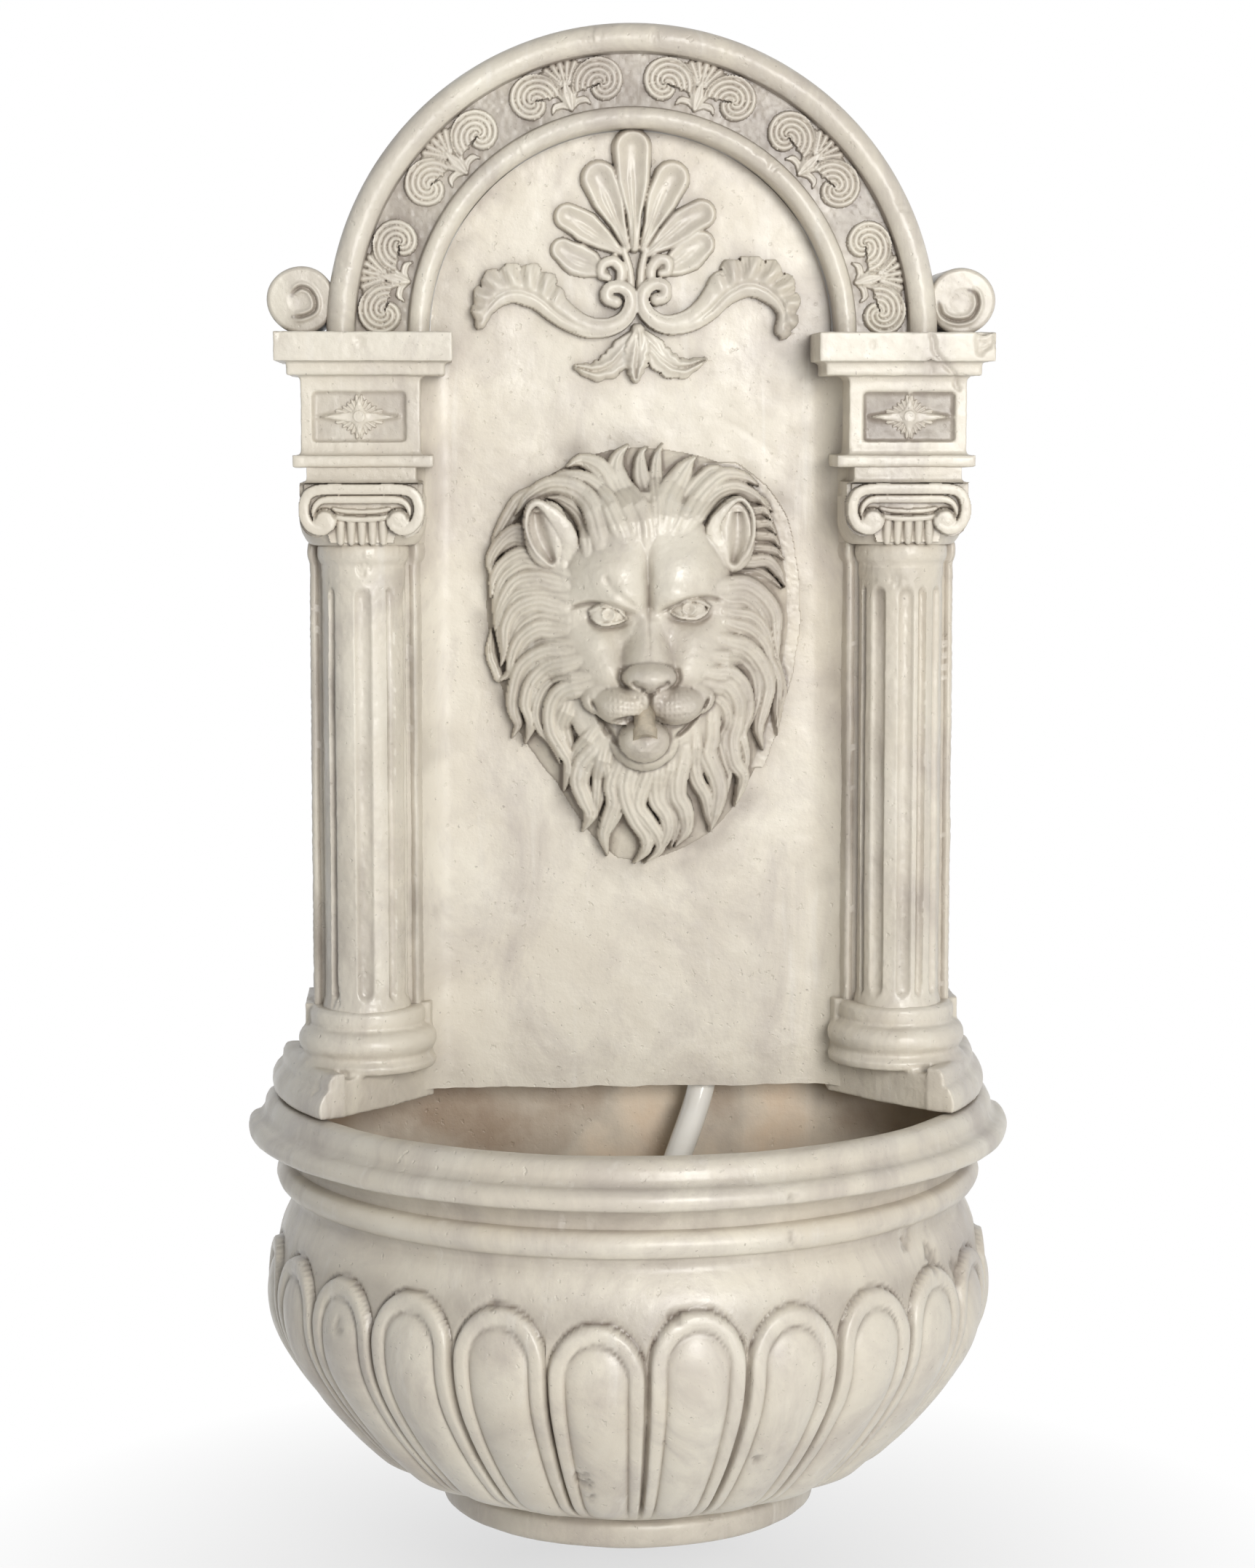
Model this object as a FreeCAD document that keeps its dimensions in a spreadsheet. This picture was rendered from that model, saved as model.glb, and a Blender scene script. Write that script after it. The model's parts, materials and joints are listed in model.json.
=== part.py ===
import FreeCAD, Part
import math
import os
import re
import Sketcher

# Garden wall fountain. Millimetres and degrees. X to the right, the front faces -Y,
# Z up. The origin lies on the wall, on the centre line, at the foot of the bowl.

driving = {
    "General": {
        "seam": 0.1,
        "cast_wall": 6,
    },
    "Bowl": {
        "foot_radius": 100,
        "foot_height": 12,
        "belly_radius": 193,
        "belly_height": 120,
        "low_curve_radius": 158,
        "low_curve_height": 60,
        "high_curve_radius": 190,
        "high_curve_height": 147,
        "waist_radius": 181.5,
        "waist_height": 171,
        "bead_radius": 191,
        "bead_foot": 177,
        "bead_top": 192,
        "neck_radius": 183,
        "cove_radius": 187,
        "lip_foot": 206,
        "lip_radius": 206,
        "lip_edge": 8,
        "roll_neck": 195,
        "roll_radius": 197.5,
        "roll_top": 231,
        "mouth_radius": 181,
        "mouth_height": 227,
        "bowl_wall": 7,
        "bowl_floor": 18,
        "back_wall": 5,
    },
    "Gadroons": {
        "lobe_count": 12,
        "lobe_top": 153,
        "lobe_shoulder": 126,
        "lobe_gap": 0.45,
        "band_relief": 3.5,
        "bulge_relief": 6,
        "band_share": 0.2,
        "groove_share": 0.05,
        "arch_band": 10,
        "lobe_root": 2.5,
    },
    "Niche panel": {
        "niche_half": 105,
        "panel_face": 38,
        "panel_shell": 4,
        "panel_foot": 233,
    },
    "Arch": {
        "arch_outer": 158,
        "outer_roll": 15,
        "outer_roll_front": 60,
        "inner_roll": 11,
        "inner_roll_front": 57,
        "frieze_face": 50,
        "scroll_count": 12,
        "frieze_scroll": 9,
        "scroll_wire": 2,
    },
    "Columns": {
        "column_x": 140,
        "column_y": 50,
        "shaft_radius": 27.5,
        "shaft_foot": 282,
        "shaft_top": 517,
        "flute_foot": 290,
        "flute_top": 502,
        "flute_radius": 5.5,
        "flute_set": 1.5,
        "flute_count": 12,
        "astragal_radius": 29.5,
        "capital_foot": 524.5,
    },
    "Column bases": {
        "plinth_top": 250,
        "plinth_angle": 32,
        "plinth_nose": 127,
        "plinth_nose_y": 68,
        "base_roll": 36.5,
        "base_cove": 33,
        "base_cove_top": 258,
        "torus_top": 272,
        "ring_radius": 30.5,
        "shoulder_radius": 192,
        "shoulder_top": 254,
        "shoulder_crest": 184,
    },
    "Capitals": {
        "echinus_radius": 33,
        "scroll_radius": 9.8,
        "scroll_x": 22,
        "scroll_front": 84,
        "scroll_top": 548.5,
        "abacus_half": 31.5,
        "abacus_front": 86,
        "abacus_top": 556,
        "neck_half": 28.2,
        "neck_front": 78,
        "canal_drop": 13,
        "spiral_pitch": 5,
        "spiral_width": 1.4,
        "spiral_depth": 1.8,
    },
    "Entablatures": {
        "slab_foot": 564.5,
        "slab_top": 571,
        "slab_in": 103,
        "slab_out": 175,
        "slab_front": 80,
        "block_top": 610,
        "block_in": 109.5,
        "block_out": 171,
        "block_front": 75,
        "fascia_top": 617,
        "fascia_in": 97,
        "fascia_out": 178,
        "fascia_front": 80,
        "cornice_top": 632,
        "cornice_in": 93,
        "cornice_out": 184,
        "cornice_front": 85,
        "recess_in": 117.5,
        "recess_out": 164.5,
        "recess_foot": 577.5,
        "recess_top": 602,
        "recess_depth": 2.5,
        "leaf_length": 21,
        "leaf_height": 11,
        "leaf_width": 3.2,
        "leaf_relief": 3.5,
        "leaf_eye": 3,
    },
    "Foot volutes": {
        "volute_x": 171,
        "volute_radius": 17.3,
        "volute_front": 54,
        "volute_pitch": 11,
        "volute_groove": 2.6,
        "volute_depth": 3,
    },
    "Crest": {
        "crest_x": 2,
        "crest_core": 653,
        "petal_length": 75,
        "petal_step": 11,
        "petal_width": 9,
        "petal_sink": 1,
        "petal_fan": 32,
        "core_radius": 11,
        "scroll_reach": 83,
        "arm_radius": 6,
        "arm_height": 650,
        "pendant_foot": 606,
        "pendant_spread": 37,
    },
    "Lion": {
        "lion_x": 5,
        "lion_eye_height": 489,
        "mane_half": 78,
        "mane_top": 575,
        "mane_tip": 355.5,
        "mane_relief": 32,
        "lock_count": 15,
        "lock_width": 7,
        "nose_front": 108,
        "face_half": 42,
    },
    "Spout and hose": {
        "spout_x": 4,
        "spout_radius": 5.5,
        "spout_bore": 4.3,
        "spout_tail_y": 17,
        "spout_tail": 412,
        "spout_height": 441,
        "spout_bend": 12,
        "spout_knee_y": 84,
        "spout_mouth_y": 96,
        "spout_mouth": 425,
        "collar_radius": 6.4,
        "collar_length": 6,
        "spout_clearance": 0.2,
        "hose_radius": 7.2,
        "hose_bore": 5.6,
    },
    "Pump": {
        "pump_x": -12,
        "pump_edge": 30,
        "pump_axis": 43,
        "pump_half": 19,
        "pump_corner": 4,
        "motor_length": 34,
        "chamber_length": 18,
        "chamber_radius": 14,
        "chamber_depth": 13,
        "rotor_radius": 8,
        "rotor_length": 24,
        "rotor_gap": 0.8,
        "impeller_radius": 12.5,
        "impeller_width": 8,
        "impeller_count": 6,
        "blade": 1.4,
        "hub_radius": 4,
        "shaft_pin": 1.5,
        "running_gap": 0.05,
        "bush_radius": 3.5,
        "bush_length": 4,
        "inlet_radius": 9,
        "spider_arm": 2,
        "nozzle_x": 9,
        "nozzle_y": 6,
        "nozzle_top": 86,
        "nozzle_radius": 5.5,
        "nozzle_bore": 4,
        "seal_radius": 15.5,
        "seal_wire": 1.2,
        "cover_length": 24,
        "cover_wall": 2,
        "cover_gap": 0.3,
        "slot_width": 2.4,
        "slot_pitch": 5,
        "slot_count": 3,
        "slot_height": 22,
        "sponge_gap": 0.4,
        "sponge_length": 17,
        "dial_radius": 8,
        "dial_height": 4,
        "dial_pin": 2.5,
        "dial_rib": 2,
        "foot_cup": 6,
        "foot_stem": 2.5,
        "foot_inset": 12,
        "gland_radius": 6,
        "gland_length": 12,
        "cable_hole": 3,
    },
    "Hanger": {
        "bar_height": 702,
        "bar_half": 128,
        "bar_width": 26,
        "bar_metal": 2.5,
        "bar_set": 1.8,
        "keyhole_x": 60,
        "keyhole_radius": 5,
        "keyhole_slot": 2.5,
        "keyhole_drop": 9,
        "screw_x": 112,
        "screw_radius": 2,
        "screw_head": 4,
        "screw_head_height": 1.6,
        "screw_length": 14,
        "boss_radius": 8,
    },
}

# Places that follow from the sizes above.
worked_out = {"pump_y": "(foot_radius - pump_edge)"}

# The hose's route, from the pump's nozzle to the spout's tail.
hose_route = [
    (-3, -76, 72),
    (-3, -76, 114),
    (6, -66, 156),
    (24, -41, 194),
    (41, -20, 234),
    (46, -17, 282),
    (31, -17, 329),
    (4, -17, 378),
    (4, -17, 426),
]

doc = FreeCAD.newDocument("WallFountain")
sheet = doc.addObject("Spreadsheet::Sheet", "dims")


def fill_sheet():
    row = 1
    for heading, values in driving.items():
        sheet.set(f"A{row}", heading)
        row += 1
        for name, value in values.items():
            sheet.set(f"A{row}", name)
            sheet.set(f"B{row}", str(value))
            sheet.setAlias(f"B{row}", name)
            row += 1
    doc.recompute()


fill_sheet()
names = {name for values in driving.values() for name in values}


def formula(text):
    """Writes the sheet's name before each of its sizes in an expression."""
    full = re.sub(r"[a-z]\w*", lambda w: worked_out.get(w[0], w[0]), str(text))
    return re.sub(r"[a-z]\w*", lambda w: f"dims.{w[0]}" if w[0] in names else w[0], full)


def size(text):
    """The value of an expression in the sheet's sizes."""
    return float(sheet.evalExpression(formula(text)))


def vector(x, y, z):
    return FreeCAD.Vector(x, y, z)


def bind(thing, **properties):
    """Ties properties to expressions; an underscore in a name stands for a dot."""
    for name, text in properties.items():
        thing.setExpression(name.replace("_", "."), formula(text))
    return thing


# Sketches


def new_sketch(body, name, plane, offset="0", shift="0", rise="0"):
    """A sketch on one of the body's origin planes, moved along its normal and in its plane."""
    sketch = body.newObject("Sketcher::SketchObject", name)
    support = [f for f in body.Origin.OriginFeatures if f.Role == plane][0]
    sketch.AttachmentSupport = [(support, "")]
    sketch.MapMode = "FlatFace"
    moves = {"x": shift, "y": rise, "z": offset}
    for axis, text in moves.items():
        if text != "0":
            sketch.setExpression(f"AttachmentOffset.Base.{axis}", formula(text))
    return sketch


def place_point(sketch, edge, end, x, y):
    """Fixes an edge's end at two expressions."""
    for kind, axis, text in (("DistanceX", -2, x), ("DistanceY", -1, y)):
        value = size(text)
        if text == "0":
            sketch.addConstraint(Sketcher.Constraint("PointOnObject", edge, end, axis))
            continue
        number = sketch.addConstraint(Sketcher.Constraint(kind, -1, 1, edge, end, value))
        sketch.setExpression(f"Constraints[{number}]", formula(text))


def add_loop(sketch, corners):
    """A closed loop. A corner with four entries starts an arc through its second point."""
    points = [vector(size(c[0]), size(c[1]), 0) for c in corners]
    edges = []
    for i, corner in enumerate(corners):
        start, end = points[i], points[(i + 1) % len(points)]
        if len(corner) == 4:
            middle = vector(size(corner[2]), size(corner[3]), 0)
            anticlockwise = (middle - start).cross(end - start).z > 0
            arc = Part.Arc(start, middle, end) if anticlockwise else Part.Arc(end, middle, start)
            edge = sketch.addGeometry(arc, False)
            edges.append((edge, 1, 2) if anticlockwise else (edge, 2, 1))
            mark = sketch.addGeometry(Part.Point(middle), True)
            place_point(sketch, mark, 1, corner[2], corner[3])
            sketch.addConstraint(Sketcher.Constraint("PointOnObject", mark, 1, edge))
        else:
            edge = sketch.addGeometry(Part.LineSegment(start, end), False)
            edges.append((edge, 1, 2))
    for i, (edge, start, end) in enumerate(edges):
        following = edges[(i + 1) % len(edges)]
        sketch.addConstraint(Sketcher.Constraint("Coincident", edge, end, following[0], following[1]))
        place_point(sketch, edge, start, corners[i][0], corners[i][1])


def add_circle(sketch, x, y, radius):
    circle = Part.Circle(vector(size(x), size(y), 0), vector(0, 0, 1), size(radius))
    edge = sketch.addGeometry(circle, False)
    place_point(sketch, edge, 3, x, y)
    number = sketch.addConstraint(Sketcher.Constraint("Radius", edge, size(radius)))
    sketch.setExpression(f"Constraints[{number}]", formula(radius))


def rectangle(left, low, right, high):
    return [(left, low), (right, low), (right, high), (left, high)]


def spiral_groove(x, y, radius, pitch, width, turns, hand):
    """A spiral band of half circles, wound inwards from the top."""
    outer, inner = [], []
    centre = y
    for i in range(2 * turns):
        up = 1 if i % 2 == 0 else -1
        reach = f"({radius} - {i} * {pitch} / 2)"
        outer.append((f"{x}", f"{centre} + {up} * {reach}", f"{x} + {up * hand} * {reach}", f"{centre}"))
        thin = f"({reach} - {width})"
        inner.append((f"{x}", f"{centre} - {up} * {thin}", f"{x} + {up * hand} * {thin}", f"{centre}"))
        if i < 2 * turns - 1:
            centre = f"({centre} - {up} * {pitch} / 2)"
    last_up = -1 if turns * 2 % 2 == 0 else 1
    reach = f"({radius} - {2 * turns - 1} * {pitch} / 2)"
    corners = outer + [(x, f"{centre} - {last_up} * {reach}")]
    return corners + list(reversed(inner)) + [(x, f"{y} + {radius} - {width}")]


# Features


def new_body(label):
    body = doc.addObject("PartDesign::Body", label)
    body.Label = label
    return body


def pad(body, sketch, length, back=False):
    feature = body.newObject("PartDesign::Pad", f"{body.Name}_pad")
    feature.Profile = sketch
    feature.Reversed = back
    bind(feature, Length=length)
    return feature


def pocket(body, sketch, depth, back=False):
    feature = body.newObject("PartDesign::Pocket", f"{body.Name}_pocket")
    feature.Profile = sketch
    feature.Reversed = back
    bind(feature, Length=depth)
    return feature


def turn(body, sketch, angle, kind="Revolution", reverse=False):
    """Turns a sketch about its own upright axis."""
    feature = body.newObject(f"PartDesign::{kind}", f"{body.Name}_{kind.lower()}")
    feature.Profile = sketch
    feature.ReferenceAxis = (sketch, ["V_Axis"])
    feature.Reversed = reverse
    bind(feature, Angle=angle)
    return feature


def ring_pattern(body, features, count, angle="360"):
    pattern = body.newObject("PartDesign::PolarPattern", f"{body.Name}_ring")
    pattern.Originals = features
    axis = [f for f in body.Origin.OriginFeatures if f.Role == "Z_Axis"][0]
    pattern.Axis = (axis, [""])
    bind(pattern, Angle=angle, Occurrences=count)
    body.Tip = pattern
    return pattern


def shape_feature(label, shape):
    feature = doc.addObject("Part::Feature", label)
    feature.Label = label
    feature.Shape = shape
    return feature


def joined(label, kind, parts):
    """A named boolean of other features: Part::MultiFuse of a list, or Part::Cut of two."""
    feature = doc.addObject(kind, label)
    feature.Label = label
    if kind == "Part::Cut":
        feature.Base, feature.Tool = parts
    else:
        feature.Shapes = parts
    return feature


# Bowl


def bowl_radius(height):
    """The bowl's outer radius at a height, on the same two arcs as its sketch."""
    low = Part.Arc(
        vector(size("foot_radius"), size("foot_height"), 0),
        vector(size("low_curve_radius"), size("low_curve_height"), 0),
        vector(size("belly_radius"), size("belly_height"), 0),
    )
    high = Part.Arc(
        vector(size("belly_radius"), size("belly_height"), 0),
        vector(size("high_curve_radius"), size("high_curve_height"), 0),
        vector(size("waist_radius"), size("waist_height"), 0),
    )
    arc = (low if height < size("belly_height") else high).toShape().Curve
    return arc.Center.x + math.sqrt(arc.Radius**2 - (height - arc.Center.y) ** 2)


def bowl_profile():
    """The moulded section from the foot to the mouth, as sketch corners."""
    return [
        ("0", "0"),
        ("foot_radius", "0"),
        ("foot_radius", "foot_height", "low_curve_radius", "low_curve_height"),
        ("belly_radius", "belly_height", "high_curve_radius", "high_curve_height"),
        ("waist_radius", "waist_height"),
        ("neck_radius", "bead_foot", "bead_radius", "(bead_foot + bead_top) / 2"),
        ("neck_radius", "bead_top", "cove_radius", "(bead_top + lip_foot) / 2 + 2"),
        ("roll_neck", "lip_foot"),
        ("lip_radius - lip_edge / 2", "lip_foot", "lip_radius", "lip_foot + lip_edge / 2"),
        ("lip_radius - lip_edge / 2", "lip_foot + lip_edge"),
        ("roll_neck", "lip_foot + lip_edge + 4", "roll_radius", "(lip_foot + lip_edge + 4 + roll_top) / 2"),
        ("roll_neck - 5", "roll_top"),
        ("mouth_radius", "mouth_height"),
        ("0", "mouth_height"),
    ]


def bowl_hollow():
    """The section of the hollow, a wall's thickness inside the outer one."""
    return [
        ("0", "bowl_floor"),
        ("foot_radius - bowl_wall", "bowl_floor", "low_curve_radius - bowl_wall", "low_curve_height + bowl_wall / 2"),
        ("belly_radius - bowl_wall", "belly_height", "high_curve_radius - bowl_wall", "high_curve_height"),
        ("waist_radius - bowl_wall", "waist_height"),
        ("mouth_radius - 3", "mouth_height - 8"),
        ("mouth_radius", "mouth_height"),
        ("mouth_radius", "roll_top + 1"),
        ("0", "roll_top + 1"),
    ]


def gadroon_section(height, reach):
    """One lobe's outline at a height: band, groove, bulge, groove, band."""
    radius = bowl_radius(height)
    half = (180 / size("lobe_count") / 2 - size("lobe_gap")) * reach
    arch = max(0.0, min(1.0, (size("lobe_top") - size("arch_band") - height) / size("arch_band")))
    band = radius + size("band_relief")
    bulge = radius + size("band_relief") + (size("bulge_relief") - size("band_relief")) * math.sqrt(arch)
    dip = band - size("band_relief") * 0.8 * math.sqrt(arch)
    share = size("band_share")
    groove = share + size("groove_share")

    def at(radial, part):
        angle = math.radians(half * part)
        return vector(radial * math.sin(angle), -radial * math.cos(angle), height)

    root = radius - size("lobe_root")
    spots = [(root, -1), (band, -1), (band, 2 * share - 1), (dip, 2 * groove - 1)]
    left = [at(*spot) for spot in spots]
    right = [at(radial, -part) for radial, part in reversed(spots)]
    edges = [
        Part.LineSegment(left[0], left[1]),
        Part.Arc(left[1], at(band, share - 1), left[2]),
        Part.LineSegment(left[2], left[3]),
        Part.Arc(left[3], at(bulge, 0), right[0]),
        Part.LineSegment(right[0], right[1]),
        Part.Arc(right[1], at(band, 1 - share), right[2]),
        Part.LineSegment(right[2], right[3]),
        Part.LineSegment(right[3], left[0]),
    ]
    return Part.Wire([edge.toShape() for edge in edges])


def gadroon():
    """A lobe whose width follows an ellipse above its shoulder, so that it ends in a round arch."""
    foot, shoulder, top = size("foot_height"), size("lobe_shoulder"), size("lobe_top")
    stations = [foot + (shoulder - foot) * k / 4 for k in range(5)]
    reaches = [1.0] * len(stations)
    for rise in (0.45, 0.75, 0.93, 0.995):
        stations.append(shoulder + (top - shoulder) * rise)
        reaches.append(math.sqrt(1 - rise**2))
    sections = [gadroon_section(z, reach) for z, reach in zip(stations, reaches)]
    return Part.makeLoft(sections, True, True)


def make_basin():
    body = new_body("bowl_shell")
    outside = new_sketch(body, "bowl_outside", "XZ_Plane")
    add_loop(outside, bowl_profile())
    turn(body, outside, "180", reverse=True)
    hollow = new_sketch(body, "bowl_hollow", "XZ_Plane")
    add_loop(hollow, bowl_hollow())
    turn(body, hollow, "180", kind="Groove", reverse=True)
    wall = new_sketch(body, "bowl_back", "XZ_Plane")
    half = [
        ("foot_radius - bowl_wall / 2", "bowl_floor / 2", "low_curve_radius - bowl_wall / 2", "low_curve_height"),
        ("belly_radius - bowl_wall / 2", "belly_height", "high_curve_radius - bowl_wall / 2", "high_curve_height"),
        ("waist_radius - bowl_wall / 2", "waist_height"),
        ("mouth_radius + 2", "mouth_height"),
        ("-mouth_radius - 2", "mouth_height"),
        (
            "-waist_radius + bowl_wall / 2",
            "waist_height",
            "-high_curve_radius + bowl_wall / 2",
            "high_curve_height",
        ),
        ("-belly_radius + bowl_wall / 2", "belly_height", "-low_curve_radius + bowl_wall / 2", "low_curve_height"),
        ("-foot_radius + bowl_wall / 2", "bowl_floor / 2"),
    ]
    add_loop(wall, half)
    pad(body, wall, "back_wall")
    doc.recompute()
    lobe = gadroon()
    pitch = 180 / size("lobe_count")
    lobes = []
    for k in range(int(size("lobe_count"))):
        copy = lobe.copy()
        copy.rotate(vector(0, 0, 0), vector(0, 0, 1), (k + 0.5) * pitch - 90)
        lobes.append(shape_feature(f"gadroon_{k + 1}", copy))
    return joined("basin", "Part::MultiFuse", [body] + lobes)


# Niche, arch and the pieces on the wall side


def make_back_panel():
    body = new_body("back_panel")
    face = new_sketch(body, "panel_outline", "XZ_Plane", offset="panel_face - panel_shell")
    add_loop(
        face,
        [
            ("-niche_half", "panel_foot"),
            ("niche_half", "panel_foot"),
            ("niche_half", "cornice_top", "0", "cornice_top + niche_half"),
            ("-niche_half", "cornice_top"),
        ],
    )
    pad(body, face, "panel_shell")
    hole = new_sketch(body, "spout_hole", "XZ_Plane", offset="panel_face - panel_shell")
    add_circle(hole, "spout_x", "spout_height", "spout_radius + spout_clearance")
    pocket(body, hole, "panel_shell", back=True)
    return body


def make_arch():
    body = new_body("arch_surround")
    inside = "(niche_half + seam)"
    section = new_sketch(body, "arch_section", "XY_Plane", offset="cornice_top")
    inner_end = f"({inside} + inner_roll)"
    outer_start = "(arch_outer - outer_roll)"
    add_loop(
        section,
        [
            (inside, "0"),
            (f"{inside} + cast_wall", "0"),
            (f"{inside} + cast_wall", "cast_wall - frieze_face"),
            ("arch_outer - cast_wall", "cast_wall - frieze_face"),
            ("arch_outer - cast_wall", "0"),
            ("arch_outer", "0"),
            (
                "arch_outer",
                "outer_roll / 2 - outer_roll_front",
                "arch_outer - outer_roll / 2",
                "-outer_roll_front",
            ),
            (outer_start, "outer_roll / 2 - outer_roll_front"),
            (outer_start, "-frieze_face"),
            (inner_end, "-frieze_face"),
            (
                inner_end,
                "inner_roll / 2 - inner_roll_front",
                f"{inside} + inner_roll / 2",
                "-inner_roll_front",
            ),
            (inside, "inner_roll / 2 - inner_roll_front"),
        ],
    )
    turn(body, section, "180", reverse=True)
    bosses = new_sketch(body, "screw_bosses", "XZ_Plane", offset="bar_set + bar_metal + seam")
    for side in (-1, 1):
        add_circle(bosses, f"{side} * screw_x", "bar_height", "boss_radius")
    pad(body, bosses, "frieze_face - cast_wall - bar_set - bar_metal")
    notch = new_sketch(body, "hanger_notch", "XZ_Plane")
    add_loop(
        notch,
        rectangle(
            "-bar_half - seam",
            "bar_height - bar_width / 2 - seam",
            "bar_half + seam",
            "bar_height + bar_width / 2 + seam",
        ),
    )
    pocket(body, notch, "bar_set + bar_metal + seam", back=True)
    holes = new_sketch(body, "screw_holes", "XZ_Plane")
    for side in (-1, 1):
        add_circle(holes, f"{side} * screw_x", "bar_height", "screw_radius")
    pocket(body, holes, "screw_length + bar_set + 1", back=True)
    return body


def make_foot_volute(side, label):
    body = new_body(label)
    centre = f"{side} * volute_x"
    height = "(cornice_top + volute_radius)"
    disc = new_sketch(body, f"{label}_disc", "XZ_Plane")
    add_circle(disc, centre, height, "volute_radius")
    pad(body, disc, "volute_front")
    spiral = new_sketch(body, f"{label}_spiral", "XZ_Plane", offset="volute_front")
    corners = spiral_groove(
        centre, height, "(volute_radius - 3.5)", "volute_pitch", "volute_groove", 1, side
    )
    add_loop(spiral, corners)
    pocket(body, spiral, "volute_depth")
    room = new_sketch(body, f"{label}_seat", "XZ_Plane")
    add_circle(room, "0", "cornice_top", "arch_outer + seam")
    pocket(body, room, "volute_front + 1", back=True)
    return body


# Columns


def shaft_backing(half_out, front):
    """The plan of the strip that ties a column member to the wall, for the right side."""
    return [
        ("niche_half + seam", "0"),
        (f"column_x + {half_out}", "0"),
        (f"column_x + {half_out}", f"-{front}"),
        (f"column_x - {half_out}", f"-{front}"),
        ("niche_half + seam", "-panel_face"),
    ]


def mirrored(corners, side):
    """The corners on the right, or their mirror image on the left."""
    swapped = []
    for corner in corners:
        new = [f"{side} * ({corner[0]})", corner[1]]
        if len(corner) == 4:
            new += [f"{side} * ({corner[2]})", corner[3]]
        swapped.append(tuple(new))
    return swapped


def make_column(side, label):
    body = new_body(label)
    axis = f"{side} * column_x"
    shaft = new_sketch(body, f"{label}_shaft", "XZ_Plane")
    middle = "(shaft_top + capital_foot) / 2"
    add_loop(
        shaft,
        [
            ("0", "shaft_foot"),
            ("shaft_radius", "shaft_foot"),
            ("shaft_radius", "shaft_top", "astragal_radius", middle),
            ("shaft_radius", "capital_foot"),
            ("0", "capital_foot"),
        ],
    )
    turn(body, shaft, "360")
    flute = new_sketch(body, f"{label}_flute", "XZ_Plane", offset="shaft_radius + flute_set")
    add_loop(
        flute,
        [
            ("0", "flute_foot", "flute_radius * sqrt(0.5)", "flute_foot + flute_radius * (1 - sqrt(0.5))"),
            ("flute_radius", "flute_foot + flute_radius"),
            (
                "flute_radius",
                "flute_top - flute_radius",
                "flute_radius * sqrt(0.5)",
                "flute_top - flute_radius * (1 - sqrt(0.5))",
            ),
            ("0", "flute_top"),
        ],
    )
    cut = turn(body, flute, "360", kind="Groove")
    ring_pattern(body, [cut], "flute_count")
    strip = new_sketch(body, f"{label}_strip", "XY_Plane", offset="shaft_foot")
    local = [
        ("niche_half + seam - column_x", "column_y"),
        ("shaft_radius", "column_y"),
        ("shaft_radius", "0"),
        ("-shaft_radius", "0"),
        ("niche_half + seam - column_x", "column_y - panel_face"),
    ]
    add_loop(strip, mirrored(local, side))
    pad(body, strip, "capital_foot - shaft_foot")
    hollow = new_sketch(body, f"{label}_hollow", "XZ_Plane", offset="-column_y")
    add_loop(
        hollow,
        rectangle(
            "cast_wall - shaft_radius",
            "shaft_foot + cast_wall",
            "shaft_radius - cast_wall",
            "capital_foot - cast_wall",
        ),
    )
    pocket(body, hollow, "column_y + shaft_radius / 3", back=True)
    bind(body, Placement_Base_x=axis, Placement_Base_y="-column_y")
    return body


def make_column_base(side, label):
    body = new_body(label)
    reach = "(mouth_radius - 1)"
    plinth = new_sketch(body, f"{label}_plinth", "XY_Plane", offset="roll_top + seam")
    corner_x = f"{reach} * cos(plinth_angle)"
    corner_y = f"-{reach} * sin(plinth_angle)"
    plan = [
        ("niche_half + seam", "0"),
        (reach, "0", f"{reach} * cos(plinth_angle / 2)", f"-{reach} * sin(plinth_angle / 2)"),
        (corner_x, corner_y),
        ("plinth_nose", "-plinth_nose_y"),
        ("niche_half + seam", "-panel_face"),
    ]
    add_loop(plinth, mirrored(plan, side))
    pad(body, plinth, "plinth_top - roll_top - seam")
    shoulder = new_sketch(body, f"{label}_shoulder", "XZ_Plane")
    low = "roll_top + seam"
    crest = [
        ("mouth_radius - 4", low),
        ("shoulder_radius", low, "shoulder_radius + 1", "roll_top + 6"),
        ("shoulder_crest + 3", "shoulder_top - 8", "shoulder_crest + 3", "shoulder_top - 4"),
        ("shoulder_crest - 1", "shoulder_top"),
        ("mouth_radius - 4", "shoulder_top"),
    ]
    add_loop(shoulder, mirrored(crest, side))
    turn(body, shoulder, "plinth_angle", reverse=side > 0)
    rings = new_sketch(
        body, f"{label}_rings", "XZ_Plane", offset="column_y", shift=f"{side} * column_x"
    )
    add_loop(
        rings,
        [
            ("0", "plinth_top"),
            ("base_roll - 1", "plinth_top"),
            ("base_roll", "(plinth_top + base_cove_top) / 2"),
            ("base_cove", "base_cove_top", "base_roll", "(base_cove_top + torus_top) / 2"),
            ("ring_radius - 1", "torus_top"),
            ("ring_radius", "torus_top + 2"),
            ("ring_radius", "shaft_foot - 2"),
            ("shaft_radius", "shaft_foot"),
            ("0", "shaft_foot"),
        ],
    )
    turn(body, rings, "360")
    strip = new_sketch(body, f"{label}_strip", "XY_Plane", offset="plinth_top")
    add_loop(strip, mirrored(shaft_backing("base_cove", "column_y"), side))
    pad(body, strip, "shaft_foot - plinth_top")
    return body


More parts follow.
